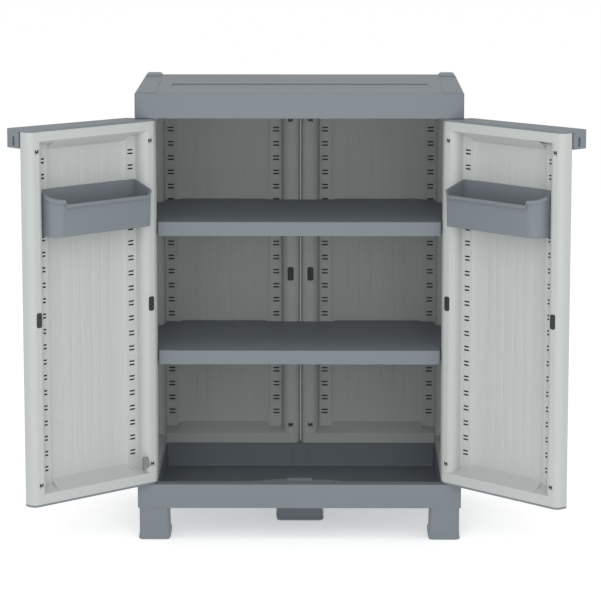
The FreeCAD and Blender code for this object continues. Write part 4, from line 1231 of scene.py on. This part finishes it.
def lid_shape():
    """Lid with a skirt, side pads, rear caps, a shallow recess and guides under it."""
    sizes = bpy.context.scene.cabinet_lid
    top = lid_top()
    bm = block(LID_LOW, (LID_HIGH.x, LID_HIGH.y, top))
    bevel(bm, upright_edges(bm), sizes.corner_radius, 5)
    bevel(bm, edges_at(bm, 2, top), sizes.edge_radius, 4)
    mirror = Matrix.Diagonal((-1.0, 1.0, 1.0, 1.0))
    for shape in (lid_pad(), place(lid_pad(), mirror), lid_cap(), place(lid_cap(), mirror)):
        bm = combine(bm, shape, "UNION")
    groove_y = LID_LOW.y + sizes.pad_end - sizes.pad_groove
    for sign in SIDES.values():
        groove = side_block(sign, (LID_HIGH.x - sizes.pad_inner, groove_y, top - sizes.pad_groove),
                            (LID_HIGH.x - sizes.pad_outer, LID_LOW.y + sizes.pad_end, top + CUT_PAST))
        bm = combine(bm, groove, "DIFFERENCE")
    y_rear = LID_LOW.y + sizes.recess_rear
    y_front = LID_LOW.y + sizes.recess_front
    wedge = bar([(y_rear, top - sizes.recess_depth, 0.0), (y_rear, top + OVERLAP, 0.0),
                 (y_front, top + OVERLAP, 0.0), (y_front, top, 0.0)],
                -sizes.recess_half, sizes.recess_half)
    bm = combine(bm, wedge, "DIFFERENCE")
    wall = sizes.wall
    inside = block((LID_LOW.x + wall, LID_LOW.y + wall, LID_LOW.z - CUT_PAST),
                   (LID_HIGH.x - wall, LID_HIGH.y - wall / 2.0, top - wall))
    bevel(inside, [edge for edge in inside.edges if upright(edge) or flat(edge, 2, top - wall)],
          LID_INNER_RADIUS, 3)
    bm = combine(bm, inside, "DIFFERENCE")
    for rib in lid_ribs(top - wall + OVERLAP):
        bm = combine(bm, rib, "UNION")
    return bm


def lid_ribs(under):
    """Guides for the walls, seats between them and bosses for the hinge pins."""
    guide = GUIDE_THICKNESS
    guide_x = SIDE_LOW.x - GUIDE_PLAY
    guide_y = BACK_LOW.y - GUIDE_PLAY
    foot = BACK_HIGH.z - GUIDE_REACH
    ribs = [block((-guide_x, guide_y - guide, foot), (guide_x, guide_y, under))]
    for side, sign in SIDES.items():
        ribs.append(side_block(sign, (guide_x - guide, SIDE_LOW.y, foot), (guide_x, guide_y, under)))
        for i in range(SEAT_COUNT):
            y = SIDE_LOW.y + (i + 0.5) * (SIDE_HIGH.y - SIDE_LOW.y) / SEAT_COUNT
            ribs.append(side_block(sign, (guide_x, y, BACK_HIGH.z),
                                   (LID_HIGH.x - SEAT_END, y + guide, under)))
        boss = bmesh.new()
        bmesh.ops.create_cone(boss, cap_ends=True, segments=32, radius1=BOSS_RADIUS, radius2=BOSS_RADIUS,
                              depth=under - LID_LOW.z)
        hinge = HINGES[side + "_door"]["pos_m"]
        bmesh.ops.translate(boss, vec=(hinge[0], hinge[1], (under + LID_LOW.z) / 2.0), verts=boss.verts)
        ribs.append(boss)
    return ribs


class CABINET_OT_lid(bpy.types.Operator):
    """Lid with side pads, rear caps and the shallow recess"""
    bl_idname = "cabinet.lid"
    bl_label = "Lid"

    def execute(self, context):
        body_piece("lid_shell", lid_shape(), "root", "lid")
        return {"FINISHED"}


# Base and feet

# Rounding of the tray's corners and floor, and of the front rim's wider middle, and the tray's wall
TRAY_RADIUS = 0.004
BULGE_RADIUS = 0.03
TRAY_WALL = 0.003

# How far the walls' seat stands out beside them, and how far it ends before the base's rear
SEAT_MARGIN = 0.003
SEAT_REAR = 0.001

# Depth of the front groove, and how far it ends from the base's end
GROOVE_DEPTH = 0.001
GROOVE_END = 0.012

# How deep the door stop is rooted, and the rounding of its edges
STOP_ROOT = 0.002
STOP_EDGE = 0.0008

# An edge of the base longer than this from front to back is one of its long lower edges
LONG_EDGE = 0.1


def tray_corners(grow):
    """Plan of the hollow of the tray, with the front rim wider in the middle."""
    sizes = bpy.context.scene.cabinet_base
    lip = BASE_LOW.y + sizes.lip_depth - grow
    bulge = lip + sizes.lip_bulge
    side = SIDE_LOW.x + grow
    back = BACK_LOW.y + grow
    top = sizes.bulge_half_top - grow
    foot = sizes.bulge_half_foot - grow
    return [(side, lip, TRAY_RADIUS), (side, back, TRAY_RADIUS), (-side, back, TRAY_RADIUS),
            (-side, lip, TRAY_RADIUS), (-foot, lip, BULGE_RADIUS), (-top, bulge, BULGE_RADIUS),
            (top, bulge, BULGE_RADIUS), (foot, lip, BULGE_RADIUS)]


def base_shape():
    """Base with a skirt, a sunk tray, a wider middle of the front rim and a door stop."""
    sizes = bpy.context.scene.cabinet_base
    seat_level = BASE_HIGH.z
    bm = block(BASE_LOW, (BASE_HIGH.x, BASE_HIGH.y, sizes.top))
    bevel(bm, upright_edges(bm), sizes.corner_radius, 5)
    lower = [edge for edge in edges_at(bm, 2, BASE_LOW.z)
             if abs(edge.verts[0].co.y - edge.verts[1].co.y) > LONG_EDGE]
    bevel(bm, lower, sizes.chamfer, 1)
    bevel(bm, edges_at(bm, 2, sizes.top), sizes.edge, 3)
    # seat of the walls, which leaves the front rim flat between them
    seat_x = SIDE_HIGH.x + SEAT_MARGIN
    seat = block((-seat_x, SIDE_LOW.y, sizes.top - OVERLAP),
                 (seat_x, BASE_HIGH.y - SEAT_REAR, seat_level))
    between_walls = block((-SIDE_LOW.x, SIDE_LOW.y - CUT_PAST, sizes.top - CUT_PAST),
                          (SIDE_LOW.x, BACK_LOW.y, seat_level + CUT_PAST))
    seat = combine(seat, between_walls, "DIFFERENCE")
    bm = combine(bm, seat, "UNION")
    # tray, whose walls lean in towards its floor
    hollow = prism(tray_corners(0.0), sizes.tray_level, seat_level + CUT_PAST)
    bottom = [vert for vert in hollow.verts if abs(vert.co.z - sizes.tray_level) < TINY]
    for vert in bottom:
        vert.co.x -= math.copysign(sizes.tray_draft, vert.co.x)
        vert.co.y -= math.copysign(sizes.tray_draft, vert.co.y)
    bevel(hollow, edges_at(hollow, 2, sizes.tray_level), TRAY_RADIUS, 3)
    bm = combine(bm, hollow, "DIFFERENCE")
    stop_root = sizes.top - STOP_ROOT
    stop = block((-sizes.stop_half, sizes.stop_front, stop_root),
                 (sizes.stop_half, sizes.stop_front + sizes.stop_depth, sizes.top + sizes.stop_height))
    bevel(stop, [edge for edge in stop.edges if not flat(edge, 2, stop_root)], STOP_EDGE, 2)
    bm = combine(bm, stop, "UNION")
    # ribs on the tray's rear wall, and the thin grooves behind the front edge
    for sign in SIDES.values():
        x = sign * sizes.rib_spacing / 2.0
        half = sizes.rib_width / 2.0
        rib = block((x - half, BACK_LOW.y - sizes.rib_depth - sizes.tray_draft,
                     sizes.tray_level - OVERLAP),
                    (x + half, BACK_LOW.y + OVERLAP, sizes.tray_level + sizes.rib_height))
        bm = combine(bm, rib, "UNION")
        y = BASE_LOW.y + sizes.groove_inset
        groove = side_block(sign, (sizes.groove_start, y, sizes.top - GROOVE_DEPTH),
                            (BASE_HIGH.x - GROOVE_END, y + sizes.groove_width, sizes.top + CUT_PAST))
        bm = combine(bm, groove, "DIFFERENCE")
    # hollow underside round the tray
    under = block((BASE_LOW.x + sizes.wall, BASE_LOW.y + sizes.wall, BASE_LOW.z - CUT_PAST),
                  (BASE_HIGH.x - sizes.wall, BASE_HIGH.y - sizes.wall, sizes.top - sizes.wall))
    kept = prism(tray_corners(TRAY_WALL), BASE_LOW.z - 2.0 * CUT_PAST, sizes.top)
    under = combine(under, kept, "DIFFERENCE")
    return combine(bm, under, "DIFFERENCE")


class CABINET_OT_base(bpy.types.Operator):
    """Base with the sunk tray"""
    bl_idname = "cabinet.base"
    bl_label = "Base"

    def execute(self, context):
        body_piece("base_shell", base_shape(), "root", "base_tray")
        return {"FINISHED"}


# How far a foot spreads at heights above the floor, as shares of its spread: outer side, inner side
FOOT_PROFILE = ((0.0, 0.35, 0.30), (0.004, 1.0, 0.62), (0.0075, 0.45, 0.85), (0.015, 0.15, 1.0),
                (0.024, 0.05, 0.35))

# Rounding of the edge of a sole, and how much the middle foot narrows upwards
SOLE_EDGE = 0.0012
CENTRE_TAPER = 0.003

# Peg of a corner foot in the base: near and far side from the foot's outside, depth of root, height
PEG_NEAR = 0.006
PEG_FAR = 0.03
PEG_ROOT = 0.004
PEG_HEIGHT = 0.018


def foot_shape(low, high, spreads, top):
    """Foot that widens towards the sole; spreads are left, right, front and rear."""
    sizes = bpy.context.scene.cabinet_base
    left, right, front, rear = spreads
    middle_x = (low[0] + high[0]) / 2.0
    middle_y = (low[1] + high[1]) / 2.0
    bm = block((low[0], low[1], 0.0), (high[0], high[1], top))
    bevel(bm, upright_edges(bm), sizes.foot_radius, 6)
    for level, _, _ in FOOT_PROFILE[1:]:
        score(bm, list(bm.faces), 2, level)
    for level, outer, inner in FOOT_PROFILE:
        for vert in bm.verts:
            if abs(vert.co.z - level) > TINY:
                continue
            to_x = (vert.co.x - middle_x) / (high[0] - middle_x)
            to_y = (vert.co.y - middle_y) / (high[1] - middle_y)
            vert.co.x += to_x * (right * outer if to_x > 0.0 else left * inner)
            vert.co.y += to_y * (rear * inner if to_y > 0.0 else front * outer)
    bevel(bm, edges_at(bm, 2, 0.0), SOLE_EDGE, 2)
    return bm


class CABINET_OT_feet(bpy.types.Operator):
    """Four corner feet and the foot under the middle"""
    bl_idname = "cabinet.feet"
    bl_label = "Feet"

    def execute(self, context):
        sizes = context.scene.cabinet_base
        x1 = BASE_HIGH.x - sizes.foot_inset - sizes.chamfer / 2.0
        x0 = x1 - sizes.foot_top_width
        y0 = BASE_LOW.y + sizes.foot_inset
        y1 = y0 + sizes.foot_top_width
        top = sizes.foot_height
        spread = sizes.foot_spread
        for side, sign_x in SIDES.items():
            for end, sign_y in (("front", 1.0), ("rear", -1.0)):
                bm = foot_shape((x0, y0), (x1, y1), (spread, spread / 2.0, spread / 4.0, spread), top)
                peg = block((x1 - PEG_FAR, y0 + PEG_NEAR, top - PEG_ROOT),
                            (x1 - PEG_NEAR, y0 + PEG_FAR, top + PEG_HEIGHT))
                bm = combine(bm, peg, "UNION")
                place(bm, Matrix.Diagonal((sign_x, sign_y, 1.0, 1.0)))
                name = "foot_" + end + "_" + side
                body_piece(name + "_shell", bm, "root", name)
        low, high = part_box("foot_centre")
        taper = CENTRE_TAPER
        bm = foot_shape((low.x + taper, low.y + taper), (high.x - taper, high.y - taper), (taper,) * 4,
                        high.z)
        body_piece("foot_centre_shell", bm, "root", "foot_centre")
        return {"FINISHED"}


# Shelves

# Edges of a shelf between the side walls and before the back, with its gaps to them
SHELF_HALF = SIDE_LOW.x - 0.0021
SHELF_REAR = BACK_LOW.y - 0.001

# Half length of the tongues at the sides, and the gap of the rear tongues to the strips of slots
SHELF_TONGUE_HALF = 0.129
SHELF_TONGUE_GAP = 0.007

# How much a cell under a shelf narrows upwards on each side
CELL_DRAFT = 0.001


def shelf_corners(low, high):
    """Plan of a shelf: tongues enter the recesses of the sides and the back."""
    corner = bpy.context.scene.cabinet_shelves.corner
    slots = bpy.context.scene.cabinet_slots
    panels = bpy.context.scene.cabinet_panels
    half = SHELF_HALF
    rear = SHELF_REAR
    wide = high.x
    centre = (SIDE_LOW.y + SIDE_HIGH.y) / 2.0
    tongue = SHELF_TONGUE_HALF
    strip = slots.column_inset + panels.strip_width / 2.0 + SHELF_TONGUE_GAP
    inner = BACK_LOW.x + strip
    outer = BACK_HIGH.x - strip
    right = [(half, low.y, corner), (half, centre - tongue, 0.0), (wide, centre - tongue, corner),
             (wide, centre + tongue, corner), (half, centre + tongue, 0.0), (half, rear, corner),
             (outer, rear, 0.0), (outer, high.y, corner), (inner, high.y, corner), (inner, rear, 0.0)]
    left = [(-x, y, radius) for x, y, radius in reversed(right)]
    return right + left


def shelf_shape(node):
    """Shelf with a ribbed underside."""
    sizes = bpy.context.scene.cabinet_shelves
    low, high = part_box(node)
    bm = prism(shelf_corners(low, high), low.z, high.z)
    bevel(bm, edges_at(bm, 2, high.z), sizes.edge, 3)
    across = sizes.cells_across
    deep = sizes.cells_deep
    step_x = 2.0 * SHELF_HALF / across
    step_y = (SHELF_REAR - low.y) / deep
    # each cell keeps half a wall to its neighbours, and a whole one along the edges of the shelf
    wall = sizes.wall / 2.0
    cells = []
    for i in range(across):
        for j in range(deep):
            corner = Vector((-SHELF_HALF + i * step_x + wall, low.y + j * step_y + wall, 0.0))
            opposite = Vector((-SHELF_HALF + (i + 1) * step_x - wall,
                               low.y + (j + 1) * step_y - wall, 0.0))
            corner += Vector((wall * (i == 0), wall * (j == 0), 0.0))
            opposite -= Vector((wall * (i == across - 1), wall * (j == deep - 1), 0.0))
            cells.append(window(bm, 2, low.z, corner, opposite))
    for cell in cells:
        sink(bm, cell, (0.0, 0.0, high.z - low.z - sizes.wall), (CELL_DRAFT, CELL_DRAFT, 0.0))
    return bm


class CABINET_OT_shelves(bpy.types.Operator):
    """Shelves with tongues and a ribbed underside"""
    bl_idname = "cabinet.shelves"
    bl_label = "Shelves"

    def execute(self, context):
        for node in ("shelf_upper", "shelf_lower"):
            body_piece(node + "_shell", shelf_shape(node), "root", node)
        return {"FINISHED"}


# Nodes that are shown as they are

KEPT_NODES = {
    "corner_clips": "black_plastic_and_painted_shade",
    "shelf_clips_upper": "body_plastic",
    "shelf_clips_lower": "body_plastic",
    "door_pins_left": "catch_plastic",
    "door_pins_right": "catch_plastic",
}


class CABINET_OT_kept_parts(bpy.types.Operator):
    """Finish of the hinge pins and of the clips that stay as they are"""
    bl_idname = "cabinet.kept_parts"
    bl_label = "Pins and hidden clips"

    def execute(self, context):
        for node, finish in KEPT_NODES.items():
            for slot in frame["nodes"][node].material_slots:
                slot.material = finish_of(finish)
        return {"FINISHED"}


# Studio

# Half width of the floor, and the width of each soft light
FLOOR_HALF = 30.0
LIGHT_WIDTH = 3.0


def soft_light(name, place_at, target, power):
    """Large square light that faces a target, and isn't mirrored in the plastics."""
    lamp = bpy.data.lights.new(name, "AREA")
    lamp.shape = "SQUARE"
    lamp.size = LIGHT_WIDTH
    lamp.energy = power
    holder = bpy.data.objects.new(name, lamp)
    bpy.context.scene.collection.objects.link(holder)
    holder.visible_glossy = False
    holder.location = place_at
    direction = Vector(target) - Vector(place_at)
    holder.rotation_euler = direction.to_track_quat("-Z", "Y").to_euler()


class CABINET_OT_stage(bpy.types.Operator):
    """Pale floor, soft lights and the camera"""
    bl_idname = "cabinet.stage"
    bl_label = "Studio"

    def execute(self, context):
        scene = context.scene
        studio = scene.cabinet_studio
        bm = bmesh.new()
        bmesh.ops.create_grid(bm, x_segments=1, y_segments=1, size=FLOOR_HALF)
        mesh = bpy.data.meshes.new("studio_floor")
        bm.to_mesh(mesh)
        bm.free()
        floor = bpy.data.objects.new("studio_floor", mesh)
        scene.collection.objects.link(floor)
        paint = bpy.data.materials.new("studio_paint")
        paint.use_nodes = True
        shader = paint.node_tree.nodes["Principled BSDF"]
        shader.inputs["Base Color"].default_value = (*scene.cabinet_colours.floor, 1.0)
        shader.inputs["Roughness"].default_value = 0.9
        shader.inputs["Specular IOR Level"].default_value = 0.0
        shader.inputs["Emission Color"].default_value = (1.0, 1.0, 1.0, 1.0)
        shader.inputs["Emission Strength"].default_value = studio.floor_glow
        mesh.materials.append(paint)
        world = bpy.data.worlds.new("studio_world")
        world.use_nodes = True
        background = world.node_tree.nodes["Background"]
        background.inputs["Color"].default_value = (1.0, 1.0, 1.0, 1.0)
        background.inputs["Strength"].default_value = studio.sky
        scene.world = world
        scene.view_settings.view_transform = "Standard"
        soft_light("key_light", (0.0, -4.0, 2.4), (0.0, 0.0, 0.5), studio.key)
        soft_light("top_light", (0.0, -0.5, 3.5), (0.0, 0.0, 0.0), studio.top)
        lens = bpy.data.cameras.new("camera")
        lens.sensor_width = 36.0
        lens.lens = studio.camera_lens
        lens.clip_end = 100.0
        camera = bpy.data.objects.new("camera", lens)
        scene.collection.objects.link(camera)
        camera.location = (studio.camera_x, studio.camera_y, studio.camera_z)
        camera.rotation_euler = (math.radians(90.0) - studio.camera_pitch, 0.0, studio.camera_turn)
        scene.camera = camera
        return {"FINISHED"}


class CABINET_PT_sidebar(bpy.types.Panel):
    """Lists the pieces of the cabinet"""
    bl_idname = "CABINET_PT_sidebar"
    bl_label = "Garden storage cabinet"
    bl_space_type = "VIEW_3D"
    bl_region_type = "UI"
    bl_category = "Cabinet"

    def draw(self, context):
        for operator in OPERATORS:
            self.layout.operator(operator.bl_idname)


SETTINGS = {
    "cabinet_panels": PanelSizes,
    "cabinet_slots": SlotSizes,
    "cabinet_doors": DoorSizes,
    "cabinet_bins": BinSizes,
    "cabinet_lid": LidSizes,
    "cabinet_base": BaseSizes,
    "cabinet_shelves": ShelfSizes,
    "cabinet_colours": CabinetColours,
    "cabinet_studio": StudioSettings,
}

OPERATORS = (
    CABINET_OT_stage,
    CABINET_OT_door_panels,
    CABINET_OT_back_panels,
    CABINET_OT_side_panels,
    CABINET_OT_top_rails,
    CABINET_OT_bottom_strips,
    CABINET_OT_door_bins,
    CABINET_OT_door_fittings,
    CABINET_OT_back_fittings,
    CABINET_OT_lid,
    CABINET_OT_base,
    CABINET_OT_feet,
    CABINET_OT_shelves,
    CABINET_OT_kept_parts,
)


def register():
    """Registers the settings, the operators and the sidebar."""
    for name, group in SETTINGS.items():
        bpy.utils.register_class(group)
        setattr(bpy.types.Scene, name, PointerProperty(type=group))
    for operator in OPERATORS:
        bpy.utils.register_class(operator)
    bpy.utils.register_class(CABINET_PT_sidebar)


def unregister():
    """Takes the settings, the operators and the sidebar away again."""
    bpy.utils.unregister_class(CABINET_PT_sidebar)
    for operator in reversed(OPERATORS):
        bpy.utils.unregister_class(operator)
    for name, group in SETTINGS.items():
        delattr(bpy.types.Scene, name)
        bpy.utils.unregister_class(group)


def main():
    """Builds the cabinet and its studio."""
    register()
    for operator in OPERATORS:
        name = operator.bl_idname.split(".")[1]
        getattr(bpy.ops.cabinet, name)()


if __name__ == "__main__":
    main()
